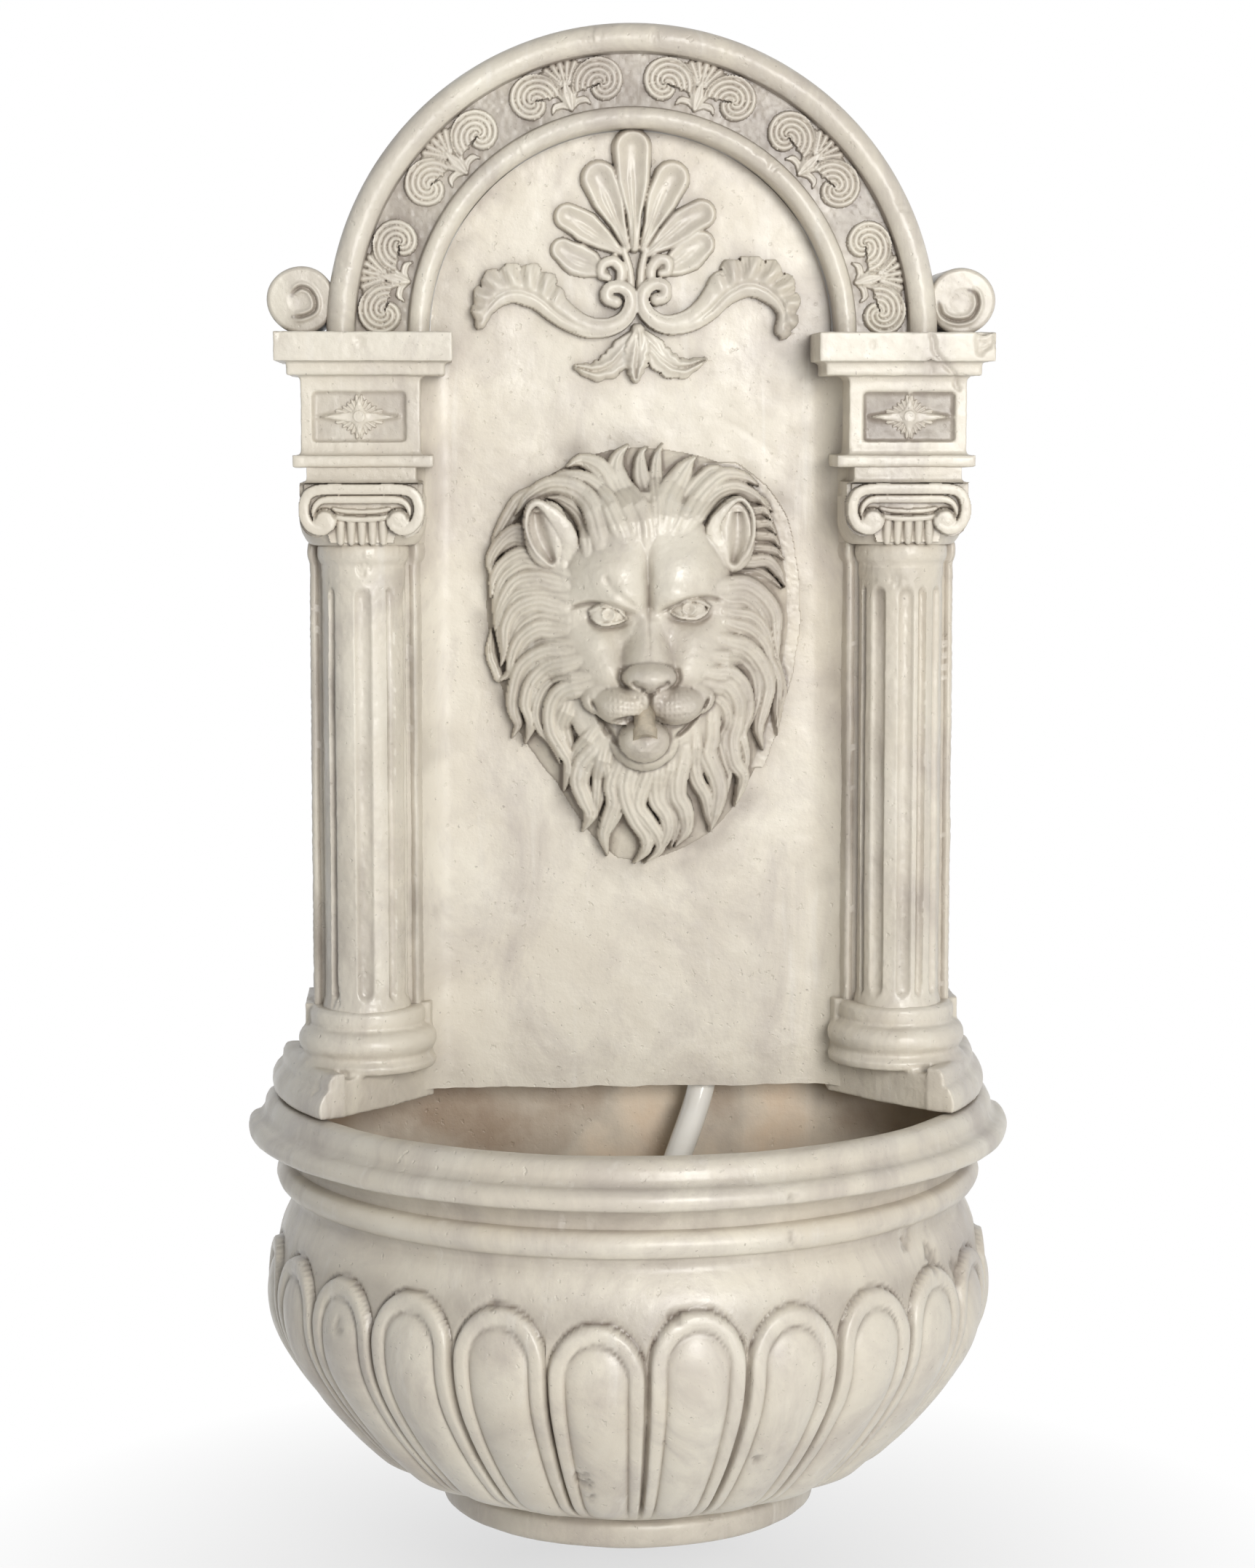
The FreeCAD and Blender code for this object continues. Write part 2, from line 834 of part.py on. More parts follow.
def make_capital(side, label):
    body = new_body(label)
    strip = new_sketch(body, f"{label}_strip", "XY_Plane", offset="capital_foot")
    add_loop(strip, mirrored(shaft_backing("neck_half", "column_y"), side))
    pad(body, strip, "slab_foot - capital_foot")
    bell = new_sketch(body, f"{label}_bell", "XZ_Plane", offset="column_y", shift=f"{side} * column_x")
    add_loop(
        bell,
        [
            ("0", "capital_foot"),
            ("shaft_radius", "capital_foot", "(shaft_radius + echinus_radius) / 2 + 1", "capital_foot + 5"),
            ("echinus_radius", "capital_foot + 13"),
            ("echinus_radius", "scroll_top"),
            ("0", "scroll_top"),
        ],
    )
    turn(body, bell, "360")
    scroll_height = "(scroll_top - scroll_radius)"
    scrolls = new_sketch(
        body, f"{label}_scrolls", "XZ_Plane", offset="column_y", shift=f"{side} * column_x"
    )
    add_loop(
        scrolls,
        [
            ("-scroll_x", "scroll_top"),
            ("scroll_x", "scroll_top", "scroll_x + scroll_radius", scroll_height),
            ("scroll_x", "scroll_top - 2 * scroll_radius"),
            ("scroll_x - scroll_radius", "scroll_top - canal_drop"),
            ("scroll_radius - scroll_x", "scroll_top - canal_drop"),
            ("-scroll_x", "scroll_top - 2 * scroll_radius", "-scroll_x - scroll_radius", scroll_height),
        ],
    )
    pad(body, scrolls, "scroll_front - column_y")
    for hand in (-1, 1):
        spiral = new_sketch(
            body, f"{label}_spiral", "XZ_Plane", offset="scroll_front", shift=f"{side} * column_x"
        )
        corners = spiral_groove(
            f"{hand} * scroll_x", scroll_height, "(scroll_radius - 2)", "spiral_pitch", "spiral_width", 1, hand
        )
        add_loop(spiral, corners)
        pocket(body, spiral, "spiral_depth")
    slabs = (("abacus_half", "abacus_front", "scroll_top", "abacus_top"),
             ("neck_half", "neck_front", "abacus_top", "slab_foot"))
    for half, front, low, high in slabs:
        slab = new_sketch(body, f"{label}_slab", "XY_Plane", offset=low)
        corners = rectangle(f"column_x - {half}", f"-{front}", f"column_x + {half}", "-panel_face - seam")
        add_loop(slab, mirrored(corners, side))
        pad(body, slab, f"{high} - {low}")
    return body


def make_entablature(side, label):
    body = new_body(label)
    members = (
        ("slab_foot", "slab_top", "slab_in", "slab_out", "slab_front"),
        ("slab_top", "block_top", "block_in", "block_out", "block_front"),
        ("block_top", "fascia_top", "fascia_in", "fascia_out", "fascia_front"),
        ("fascia_top", "cornice_top", "cornice_in", "cornice_out", "cornice_front"),
    )
    for low, high, inner, outer, front in members:
        plan = new_sketch(body, f"{label}_{high}", "XY_Plane", offset=low)
        edge = f"max({inner}; niche_half + seam)"
        corners = [
            (edge, "0"),
            (outer, "0"),
            (outer, f"-{front}"),
            (inner, f"-{front}"),
            (inner, "-panel_face - seam"),
        ]
        if size(inner) < size("niche_half"):
            corners.append((edge, "-panel_face - seam"))
        add_loop(plan, mirrored(corners, side))
        pad(body, plan, f"{high} - {low}")
    panel = new_sketch(body, f"{label}_recess", "XZ_Plane", offset="block_front")
    add_loop(panel, mirrored(rectangle("recess_in", "recess_foot", "recess_out", "recess_top"), side))
    pocket(body, panel, "recess_depth")
    centre = f"{side} * (recess_in + recess_out) / 2"
    height = "((recess_foot + recess_top) / 2)"
    leaves = new_sketch(body, f"{label}_leaves", "XZ_Plane", offset="block_front - recess_depth")
    points = []
    for k in range(4):
        tip = ("leaf_length", "0", "leaf_height", "0")[k]
        rise = ("0", "leaf_height", "0", "leaf_length")[k]
        sign_x, sign_y = (1, 0, -1, 0)[k], (0, 1, 0, -1)[k]
        reach = "leaf_length" if k % 2 == 0 else "leaf_height"
        points.append((f"{centre} + {sign_x} * {reach}", f"{height} + {sign_y} * {reach}"))
        turn_x, turn_y = (1, -1, -1, 1)[k], (1, 1, -1, -1)[k]
        points.append((f"{centre} + {turn_x} * leaf_width", f"{height} + {turn_y} * leaf_width"))
    add_loop(leaves, points)
    pad(body, leaves, "leaf_relief - leaf_eye / 3")
    eye = new_sketch(body, f"{label}_eye", "XZ_Plane", offset="block_front - recess_depth")
    add_circle(eye, centre, height, "leaf_eye")
    pad(body, eye, "leaf_relief")
    hollow = new_sketch(body, f"{label}_hollow", "XZ_Plane")
    add_loop(
        hollow,
        mirrored(
            rectangle(
                "block_in + cast_wall",
                "slab_top + cast_wall",
                "block_out - cast_wall",
                "fascia_top - cast_wall",
            ),
            side,
        ),
    )
    pocket(body, hollow, "block_front - 2 * cast_wall", back=True)
    return body


# Crest and lion, built up from tapered round forms on the panel's face


def tapered(points, radii):
    """Cones between balls, along a line of points."""
    forms = []
    for i, (point, radius) in enumerate(zip(points, radii)):
        forms.append(Part.makeSphere(radius * 1.03, point))
        if i:
            run = point - points[i - 1]
            slim = abs(radii[i - 1] - radius) < 0.01
            forms.append(
                Part.makeCylinder(radius, run.Length, points[i - 1], run)
                if slim
                else Part.makeCone(radii[i - 1], radius, run.Length, points[i - 1], run)
            )
    return forms[0].multiFuse(forms[1:])


def in_front_of_panel(shape):
    """Trims a relief to what stands proud of the panel's face."""
    room = size("cornice_top + arch_outer")
    block = Part.makeBox(2 * room, room, room)
    block.translate(vector(-room, -size("panel_face") - size("seam") - room, 0))
    return shape.common(block)


def make_crest():
    x, core = size("crest_x"), size("crest_core")
    face = -size("panel_face")
    width, sink = size("petal_width"), size("petal_sink")
    petals = []
    fan = (0, 1, -1, 2, -2, 3, -3)
    for k in fan:
        reach = size("petal_length") - abs(k) * size("petal_step")
        angle = math.radians(size("petal_fan") * (abs(k) / 2 + k * k / 9) * (1 if k > 0 else -1))
        way = vector(math.sin(angle), 0, math.cos(angle))
        centre = vector(x, face + sink, core)
        start, tip = centre + way * (width * (1 + abs(k) / 8)), centre + way * reach
        petal = tapered([start, tip], [width * 0.45, width])
        scoop = tapered(
            [start + vector(0, -width * 0.75, 0), tip + vector(0, -width * 0.75, 0)],
            [width * 0.25, width * 0.62],
        )
        petals.append(petal.cut(scoop))
    heart = Part.makeSphere(size("core_radius"), vector(x, face + sink, core - size("core_radius") / 2))
    forms = petals + [heart]
    low, reach, arm = size("arm_height"), size("scroll_reach"), size("arm_radius")
    for side in (-1, 1):
        spots = [(0.06, 0), (0.14, -9), (0.32, -9), (0.52, 0), (0.72, 4), (0.88, -2), (0.96, -16)]
        points = [vector(x + side * reach * s, face + sink, low + rise) for s, rise in spots]
        forms.append(tapered(points, [arm * k for k in (0.7, 0.8, 1, 1.2, 1.3, 1.1, 0.6)]))
    foot, spread = size("pendant_foot"), size("pendant_spread")
    top = vector(x, face + sink, low - size("core_radius"))
    forms.append(tapered([top, vector(x, face + sink, foot + arm)], [arm * 1.3, arm]))
    for side in (-1, 1):
        middle = vector(x + side * spread * 0.5, face + sink, (top.z + foot) / 2)
        tip = vector(x + side * (spread - arm / 2), face + sink, (top.z + 2 * foot) / 3 + arm / 2)
        forms.append(tapered([top, middle, tip], [arm, arm * 1.1, arm / 2]))
    return shape_feature("crest_ornament", in_front_of_panel(forms[0].multiFuse(forms[1:])))


def flame_ring(share, notch, forward, turned=0):
    """A ring of straight sides about the lion's face; every second corner is a lock's tip."""
    x, middle = size("lion_x"), (size("mane_top") + size("mane_tip")) / 2
    tall, wide = (size("mane_top") - size("mane_tip")) / 2, size("mane_half")
    count = 2 * int(size("lock_count"))
    corners = []
    for k in range(count):
        angle = 2 * math.pi * k / count
        reach = share * (1 - notch * ((k + turned) % 2))
        corners.append(
            vector(x + wide * reach * math.sin(angle), -forward, middle + tall * reach * math.cos(angle))
        )
    return Part.makePolygon(corners + corners[:1])


def make_lion():
    x, eye, panel = size("lion_x"), size("lion_eye_height"), size("panel_face")
    relief, lock = size("mane_relief"), size("lock_width")
    half, nose = size("face_half"), size("nose_front")
    brow = panel + relief
    outer = Part.makeLoft(
        [
            flame_ring(1, 0.08, panel - lock),
            flame_ring(0.98, 0.1, panel + relief * 0.3),
            flame_ring(0.72, 0.06, panel + relief * 0.7),
        ],
        True,
        True,
    )
    inner = Part.makeLoft(
        [
            flame_ring(0.84, 0.12, panel, turned=1),
            flame_ring(0.8, 0.14, panel + relief * 0.75, turned=1),
            flame_ring(0.56, 0.1, panel + relief * 1.1, turned=1),
        ],
        True,
        True,
    )
    forms = [
        Part.makeSphere(half * 1.15, vector(x, half * 0.72 - brow, eye)),
        tapered(
            [vector(x, -brow, eye - half * 0.35), vector(x, half * 0.45 - nose, eye - half * 0.8)],
            [half * 0.66, half * 0.42],
        ),
    ]
    for side in (-1, 1):
        forms.append(Part.makeSphere(half * 0.44, vector(x + side * half * 0.42, -brow, eye + half * 0.6)))
        forms.append(Part.makeSphere(half * 0.27, vector(x + side * half * 0.28, half * 0.33 - nose, eye - half)))
        forms.append(Part.makeSphere(half * 0.2, vector(x + side * half * 0.49, -brow - half * 0.18, eye)))
        ear = vector(x + side * half * 1.02, -brow + relief * 0.5, eye + half * 0.75)
        forms.append(Part.makeCone(half * 0.46, half * 0.22, half * 0.75, ear, vector(side * 0.35, -0.55, 0.75)))
    forms.append(Part.makeSphere(half * 0.26, vector(x, half * 0.43 - nose, eye - half * 1.5)))
    beard = [
        vector(x, -brow, eye - half * 1.6),
        vector(x + lock / 3, -panel - relief * 0.6, eye - half * 2.3),
        vector(x, -panel, size("mane_tip") + lock),
    ]
    forms.append(tapered(beard, [lock * 2, lock * 1.7, lock * 0.8]))
    shape = in_front_of_panel(outer.multiFuse([inner] + forms))
    mouth = tube_solid(spout_points(), spout_radii(), size("spout_radius") + size("spout_clearance"))
    throat = spout_points()[-1]
    drop = (throat - spout_points()[-2]).normalize()
    lip = size("collar_radius") + size("spout_clearance")
    back = throat - drop * size("collar_length")
    bore = Part.makeCylinder(lip, size("collar_length") + 2 * lip, back, drop)
    return shape_feature("lion_mask", shape.cut(mouth).cut(bore))


# Spout and hose


def route_wire(points, radii):
    """Straight runs joined by tangent arcs, one radius for each inner point."""
    edges, start = [], points[0]
    for i in range(1, len(points) - 1):
        before = (points[i] - points[i - 1]).normalize()
        after = (points[i + 1] - points[i]).normalize()
        half_turn = before.getAngle(after) / 2
        reach = radii[i - 1] * math.tan(half_turn)
        first, last = points[i] - before * reach, points[i] + after * reach
        inward = (after - before).normalize()
        middle = points[i] + inward * radii[i - 1] * (1 / math.cos(half_turn) - 1)
        edges.append(Part.LineSegment(start, first).toShape())
        edges.append(Part.Arc(first, middle, last).toShape())
        start = last
    edges.append(Part.LineSegment(start, points[-1]).toShape())
    return Part.Wire(edges)


def tube_solid(points, radii, radius):
    """A round rod along a route."""
    wire = route_wire(points, radii)
    circle = Part.Circle(points[0], points[1] - points[0], radius)
    return wire.makePipeShell([Part.Wire(circle.toShape())], True, False)


def spout_points():
    x = size("spout_x")
    return [
        vector(x, -size("spout_tail_y"), size("spout_tail")),
        vector(x, -size("spout_tail_y"), size("spout_height")),
        vector(x, -size("spout_knee_y"), size("spout_height")),
        vector(x, -size("spout_mouth_y"), size("spout_mouth")),
    ]


def spout_radii():
    return [size("spout_bend"), size("spout_bend") * 0.8]


def make_spout():
    points = spout_points()
    outer = tube_solid(points, spout_radii(), size("spout_radius"))
    drop = (points[-1] - points[-2]).normalize()
    back = points[-1] - drop * size("collar_length")
    collar = Part.makeCylinder(size("collar_radius"), size("collar_length"), back, drop)
    longer = [points[0] - vector(0, 0, 1), points[1], points[2], points[3] + drop]
    bore = tube_solid(longer, spout_radii(), size("spout_bore"))
    return shape_feature("spout_tube", outer.fuse(collar).cut(bore))


def hose_radii(points):
    """Each arc as large as its two runs allow."""
    radii = []
    for i in range(1, len(points) - 1):
        before, after = points[i] - points[i - 1], points[i + 1] - points[i]
        shorter = min(before.Length, after.Length)
        radii.append(0.45 * shorter / math.tan(before.getAngle(after) / 2))
    return radii


def make_hose():
    points = [vector(*point) for point in hose_route]
    radii = hose_radii(points)
    print("hose bend radii", [round(radius) for radius in radii])
    outer = tube_solid(points, radii, size("hose_radius"))
    bore = tube_solid(points, radii, size("hose_bore"))
    length = route_wire(points, radii).Length
    section = math.pi * (size("hose_radius") ** 2 - size("hose_bore") ** 2)
    hose = outer.cut(bore)
    print("hose length", round(length, 1), "volume share", round(hose.Volume / (section * length), 4))
    return shape_feature("delivery_hose", hose)


# Pump, lying along X on the bowl's floor


def pump_square(body, name, offset, inset="0"):
    """The pump's rounded square section, across X."""
    sketch = new_sketch(body, name, "YZ_Plane", offset=offset, shift="-pump_y", rise="pump_axis")
    side, corner = f"(pump_half - {inset})", f"max(pump_corner - {inset}; 1)"
    cut = f"({side} - {corner})"
    mid = f"({cut} + {corner} * sqrt(0.5))"
    add_loop(
        sketch,
        [
            (cut, f"-{side}", mid, f"-{mid}"),
            (side, f"-{cut}"),
            (side, cut, mid, mid),
            (cut, side),
            (f"-{cut}", side, f"-{mid}", mid),
            (f"-{side}", cut),
            (f"-{side}", f"-{cut}", f"-{mid}", f"-{mid}"),
            (f"-{cut}", f"-{side}"),
        ],
    )
    return sketch


def round_across(body, name, offset, radius, x="0", y="0"):
    """A circle across X on the pump's axis."""
    sketch = new_sketch(body, name, "YZ_Plane", offset=offset, shift="-pump_y", rise="pump_axis")
    add_circle(sketch, x, y, radius)
    return sketch


def make_pump_housing():
    body = new_body("pump_housing")
    pad(body, pump_square(body, "housing_section", "pump_x - motor_length"), "motor_length")
    bore = round_across(body, "rotor_bore", "pump_x", "rotor_radius + rotor_gap")
    pocket(body, bore, "rotor_length + 3")
    seat = round_across(body, "bush_seat", "pump_x - rotor_length - 3", "bush_radius + seam / 2")
    pocket(body, seat, "bush_length")
    groove = round_across(body, "seal_groove", "pump_x", "seal_radius + seal_wire + seam")
    add_circle(groove, "0", "0", "seal_radius - seal_wire - seam")
    pocket(body, groove, "2 * seal_wire + seam")
    return body


def make_volute_cover():
    body = new_body("volute_cover")
    pad(body, pump_square(body, "chamber_section", "pump_x"), "chamber_length")
    chamber = round_across(body, "chamber", "pump_x", "chamber_radius")
    pocket(body, chamber, "chamber_depth", back=True)
    inlet = round_across(body, "inlet", "pump_x + chamber_length", "inlet_radius")
    pocket(body, inlet, "chamber_length - chamber_depth + 1")
    start = "pump_x + chamber_depth"
    spider = round_across(body, "spider_hub", start, "bush_radius + spider_arm + seam / 2")
    pad(body, spider, "bush_length")
    arms = new_sketch(body, "spider_arms", "YZ_Plane", offset=start, shift="-pump_y", rise="pump_axis")
    arm = "spider_arm / 2"
    add_loop(arms, rectangle(f"-{arm}", "-inlet_radius - 0.5", arm, "inlet_radius + 0.5"))
    pad(body, arms, "bush_length")
    seat = round_across(body, "spider_bore", start, "bush_radius + seam / 2")
    pocket(body, seat, "bush_length", back=True)
    nozzle = new_sketch(body, "nozzle", "XY_Plane", offset="pump_axis + pump_half - pump_corner / 4")
    add_circle(nozzle, "pump_x + nozzle_x", "-pump_y - nozzle_y", "nozzle_radius")
    pad(body, nozzle, "nozzle_top - pump_axis - pump_half + pump_corner / 4")
    bore = new_sketch(body, "nozzle_bore_circle", "XY_Plane", offset="nozzle_top")
    add_circle(bore, "pump_x + nozzle_x", "-pump_y - nozzle_y", "nozzle_bore")
    pocket(body, bore, "nozzle_top - pump_axis - chamber_radius / 2")
    return body


def make_front_cover():
    body = new_body("front_cover")
    start = "pump_x + chamber_length + cover_gap"
    pad(body, pump_square(body, "cover_section", start), "cover_length")
    inside = pump_square(body, "cover_inside", start, inset="cover_wall")
    pocket(body, inside, "cover_length - cover_wall", back=True)
    slot = new_sketch(body, "intake_slot", "XZ_Plane", offset="pump_y + pump_half + 1")
    first = "(pump_x + chamber_length + cover_gap + slot_pitch)"
    low, high = "(pump_axis - slot_height / 2)", "(pump_axis + slot_height / 2)"
    add_loop(slot, rectangle(first, low, f"{first} + slot_width", high))
    cut = pocket(body, slot, "2 * pump_half + 2")
    doc.recompute()
    row = body.newObject("PartDesign::LinearPattern", "intake_slots")
    row.Originals = [cut]
    axis = [f for f in body.Origin.OriginFeatures if f.Role == "X_Axis"][0]
    row.Direction = (axis, [""])
    bind(row, Length="slot_pitch * (slot_count - 1)", Occurrences="slot_count")
    body.Tip = row
    pin = round_across(body, "dial_hole", f"{start} + cover_length", "dial_pin + running_gap")
    pocket(body, pin, "cover_wall + 1")
    return body


def make_filter_sponge():
    body = new_body("filter_sponge")
    start = "pump_x + chamber_length + cover_gap + sponge_gap"
    pad(body, pump_square(body, "sponge_section", start, inset="(cover_wall + sponge_gap)"), "sponge_length")
    return body


def make_flow_dial():
    body = new_body("flow_dial")
    face = "pump_x + chamber_length + cover_gap + cover_length"
    knob = round_across(body, "dial_knob", f"{face} + cover_gap", "dial_radius")
    pad(body, knob, "dial_height")
    pin = round_across(body, "dial_stem", f"{face} - cover_wall - 1", "dial_pin")
    pad(body, pin, "cover_wall + cover_gap + 2")
    rib = new_sketch(
        body, "dial_grip", "YZ_Plane", offset=f"{face} + cover_gap", shift="-pump_y", rise="pump_axis"
    )
    add_loop(rib, rectangle("-dial_rib / 2", "-dial_radius + 1", "dial_rib / 2", "dial_radius - 1"))
    pad(body, rib, "dial_height + dial_rib")
    return body


def make_impeller():
    body = new_body("impeller")
    back = "pump_x + 1"
    disc = round_across(body, "impeller_disc", back, "impeller_radius")
    pad(body, disc, "blade")
    hub = round_across(body, "impeller_hub", "pump_x - 2", "hub_radius")
    pad(body, hub, "impeller_width + blade + 3")
    for k in range(int(size("impeller_count"))):
        angle = f"(360 * {k} / impeller_count)"
        blades = new_sketch(
            body, f"blade_{k + 1}", "YZ_Plane", offset=back, shift="-pump_y", rise="pump_axis"
        )
        near, far, half = "hub_radius - 1", "impeller_radius - 0.5", "blade / 2"
        corners = []
        for reach, across in ((near, f"-{half}"), (far, f"-{half}"), (far, half), (near, half)):
            corners.append(
                (
                    f"({reach}) * cos({angle}) - ({across}) * sin({angle})",
                    f"({reach}) * sin({angle}) + ({across}) * cos({angle})",
                )
            )
        add_loop(blades, corners)
        pad(body, blades, "impeller_width + blade")
    bore = round_across(body, "impeller_bore", "pump_x - 2", "shaft_pin + running_gap")
    pocket(body, bore, "impeller_width + blade + 3", back=True)
    return body


def make_rotor_magnet():
    body = new_body("rotor_magnet")
    ring = round_across(body, "magnet_ring", "pump_x - 2 - rotor_length", "rotor_radius")
    add_circle(ring, "0", "0", "shaft_pin + running_gap")
    pad(body, ring, "rotor_length")
    return body


def make_rotor_shaft():
    body = new_body("rotor_shaft")
    start = "pump_x - rotor_length - 3 - bush_length"
    rod = round_across(body, "shaft_rod", start, "shaft_pin")
    pad(body, rod, "rotor_length + 3 + 2 * bush_length + chamber_depth")
    return body


def make_bush(label, start):
    body = new_body(label)
    ring = round_across(body, f"{label}_ring", start, "bush_radius")
    add_circle(ring, "0", "0", "shaft_pin")
    pad(body, ring, "bush_length")
    return body


def make_chamber_seal():
    ring = doc.addObject("Part::Torus", "chamber_seal")
    ring.Label = "chamber_seal"
    ring.Placement.Rotation = FreeCAD.Rotation(vector(0, 1, 0), 90)
    bind(
        ring,
        Radius1="seal_radius",
        Radius2="seal_wire",
        Placement_Base_x="pump_x - seal_wire - seam / 2",
        Placement_Base_y="-pump_y",
        Placement_Base_z="pump_axis",
    )
    return ring


def make_suction_feet():
    cups = []
    for along in ("pump_x - motor_length + foot_inset", "pump_x + chamber_length - foot_inset"):
        for side in (-1, 1):
            stem_foot = "(pump_axis - pump_half - bowl_floor) * 0.7"
            place = {
                "Placement_Base_x": along,
                "Placement_Base_y": f"{side} * (pump_half - foot_inset) - pump_y",
            }
            cup = doc.addObject("Part::Cone", "suction_cup")
            bind(cup, Radius1="foot_cup", Radius2="foot_stem", Height=stem_foot, **place)
            bind(cup, Placement_Base_z="bowl_floor")
            stem = doc.addObject("Part::Cylinder", "suction_stem")
            bind(stem, Radius="foot_stem", Height="pump_axis - pump_half - bowl_floor", **place)
            bind(stem, Placement_Base_z="bowl_floor")
            cups += [cup, stem]
    return joined("suction_feet", "Part::MultiFuse", cups)


def make_cable_gland():
    body = new_body("cable_gland")
    nut = round_across(body, "gland_body", "pump_x - motor_length - gland_length", "gland_radius")
    pad(body, nut, "gland_length")
    hole = round_across(body, "gland_hole", "pump_x - motor_length - gland_length", "cable_hole")
    pocket(body, hole, "gland_length * 0.75", back=True)
    return body


# Hanger


def make_hanger_bar():
    body = new_body("hanger_bar")
    low, high = "bar_height - bar_width / 2", "bar_height + bar_width / 2"
    strip = new_sketch(body, "bar_outline", "XZ_Plane", offset="bar_set")
    add_loop(strip, rectangle("-bar_half", low, "bar_half", high))
    for side in (-1, 1):
        add_circle(strip, f"{side} * screw_x", "bar_height", "screw_radius + seam")
    pad(body, strip, "bar_metal")
    for side in (-1, 1):
        x = f"{side} * keyhole_x"
        entry = new_sketch(body, "keyhole_entry", "XZ_Plane", offset="bar_set")
        add_circle(entry, x, "bar_height - keyhole_drop / 2", "keyhole_radius")
        pocket(body, entry, "bar_metal", back=True)
        neck = new_sketch(body, "keyhole_neck", "XZ_Plane", offset="bar_set")
        top = "bar_height + keyhole_drop / 2"
        add_loop(
            neck,
            [
                (f"{x} - keyhole_slot", "bar_height - keyhole_drop / 2"),
                (f"{x} + keyhole_slot", "bar_height - keyhole_drop / 2"),
                (f"{x} + keyhole_slot", top, x, f"{top} + keyhole_slot"),
                (f"{x} - keyhole_slot", top),
            ],
        )
        pocket(body, neck, "bar_metal", back=True)
    return body


def make_hanger_screws():
    solids = []
    for side in (-1, 1):
        for name, radius, start, length in (
            ("screw_head", "screw_head", "bar_set - screw_head_height", "screw_head_height"),
            ("screw_shank", "screw_radius - seam", "bar_set", "screw_length"),
        ):
            rod = doc.addObject("Part::Cylinder", name)
            rod.Placement.Rotation = FreeCAD.Rotation(vector(1, 0, 0), 90)
            bind(
                rod,
                Radius=radius,
                Height=length,
                Placement_Base_x=f"{side} * screw_x",
                Placement_Base_y=f"-({start})",
                Placement_Base_z="bar_height",
            )
            solids.append(rod)
    return joined("hanger_screws", "Part::MultiFuse", solids)


fountain_parts = []


def main():
    fountain_parts.append(make_basin())
    fountain_parts.append(make_back_panel())
    fountain_parts.append(make_arch())
    for side, word in ((-1, "left"), (1, "right")):
        fountain_parts.append(make_foot_volute(side, f"foot_volute_{word}"))
        fountain_parts.append(make_entablature(side, f"entablature_{word}"))
        fountain_parts.append(make_capital(side, f"capital_{word}"))
        fountain_parts.append(make_column(side, f"column_{word}"))
        fountain_parts.append(make_column_base(side, f"column_base_{word}"))
    for make in (
        make_crest,
        make_lion,
        make_spout,
        make_hose,
        make_pump_housing,
        make_volute_cover,
        make_front_cover,
        make_filter_sponge,
        make_flow_dial,
        make_impeller,
        make_rotor_magnet,
        make_rotor_shaft,
        make_chamber_seal,
        make_suction_feet,
        make_cable_gland,
        make_hanger_bar,
        make_hanger_screws,
    ):
        fountain_parts.append(make())
    fountain_parts.append(make_bush("rear_bush", "pump_x - rotor_length - 3 - bush_length"))
    fountain_parts.append(make_bush("front_bush", "pump_x + chamber_depth"))
    doc.recompute()
    for thing in doc.Objects:
        bad = {"Invalid", "Error"} & set(thing.State)
        if bad:
            raise RuntimeError(f"{thing.Label}: {thing.State}")
    os.makedirs("parts", exist_ok=True)
    for part in fountain_parts:
        if part.Shape.isNull() or not part.Shape.isValid():
            raise RuntimeError(f"{part.Label} is not a valid solid")
        part.Shape.exportStep(f"parts/{part.Label}.step")
        print(part.Label, len(part.Shape.Solids), round(part.Shape.Volume / 1000, 1), "cm3")


main()
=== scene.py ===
import bpy
import json
import math
import numpy as np
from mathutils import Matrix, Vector


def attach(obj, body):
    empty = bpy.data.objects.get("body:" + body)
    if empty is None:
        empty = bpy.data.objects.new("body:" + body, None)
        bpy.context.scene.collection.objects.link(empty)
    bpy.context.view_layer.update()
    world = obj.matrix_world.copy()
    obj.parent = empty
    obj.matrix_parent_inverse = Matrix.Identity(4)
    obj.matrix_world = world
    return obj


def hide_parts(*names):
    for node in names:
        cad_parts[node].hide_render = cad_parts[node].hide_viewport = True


# Garden wall fountain: cast stone-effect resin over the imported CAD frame.
# Sizes in the settings are millimetres; x to the right, the front faces -y, z up.

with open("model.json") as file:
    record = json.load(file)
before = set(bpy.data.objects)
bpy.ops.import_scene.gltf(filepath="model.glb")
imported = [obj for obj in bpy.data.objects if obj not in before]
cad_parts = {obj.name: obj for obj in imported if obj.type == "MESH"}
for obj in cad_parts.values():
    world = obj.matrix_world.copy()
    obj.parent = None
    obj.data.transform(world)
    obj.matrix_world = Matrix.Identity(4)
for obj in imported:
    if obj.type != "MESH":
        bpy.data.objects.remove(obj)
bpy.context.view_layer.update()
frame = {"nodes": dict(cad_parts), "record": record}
nodes = frame["nodes"]
mm = 0.001


# Small helpers


def deselectAll():
    if bpy.context.object and bpy.context.object.mode != "OBJECT":
        bpy.ops.object.mode_set(mode="OBJECT")
    bpy.ops.object.select_all(action="DESELECT")


def takeUp(piece):
    deselectAll()
    piece.select_set(True)
    bpy.context.view_layer.objects.active = piece


def applyModifier(piece, kind, **settings):
    takeUp(piece)
    bpy.ops.object.modifier_add(type=kind)
    modifier = piece.modifiers[-1]
    for name, value in settings.items():
        setattr(modifier, name, value)
    bpy.ops.object.modifier_apply(modifier=modifier.name)


def smoothStep(low, high, value):
    t = np.clip((value - low) / (high - low), 0, 1)
    return t * t * (3 - 2 * t)


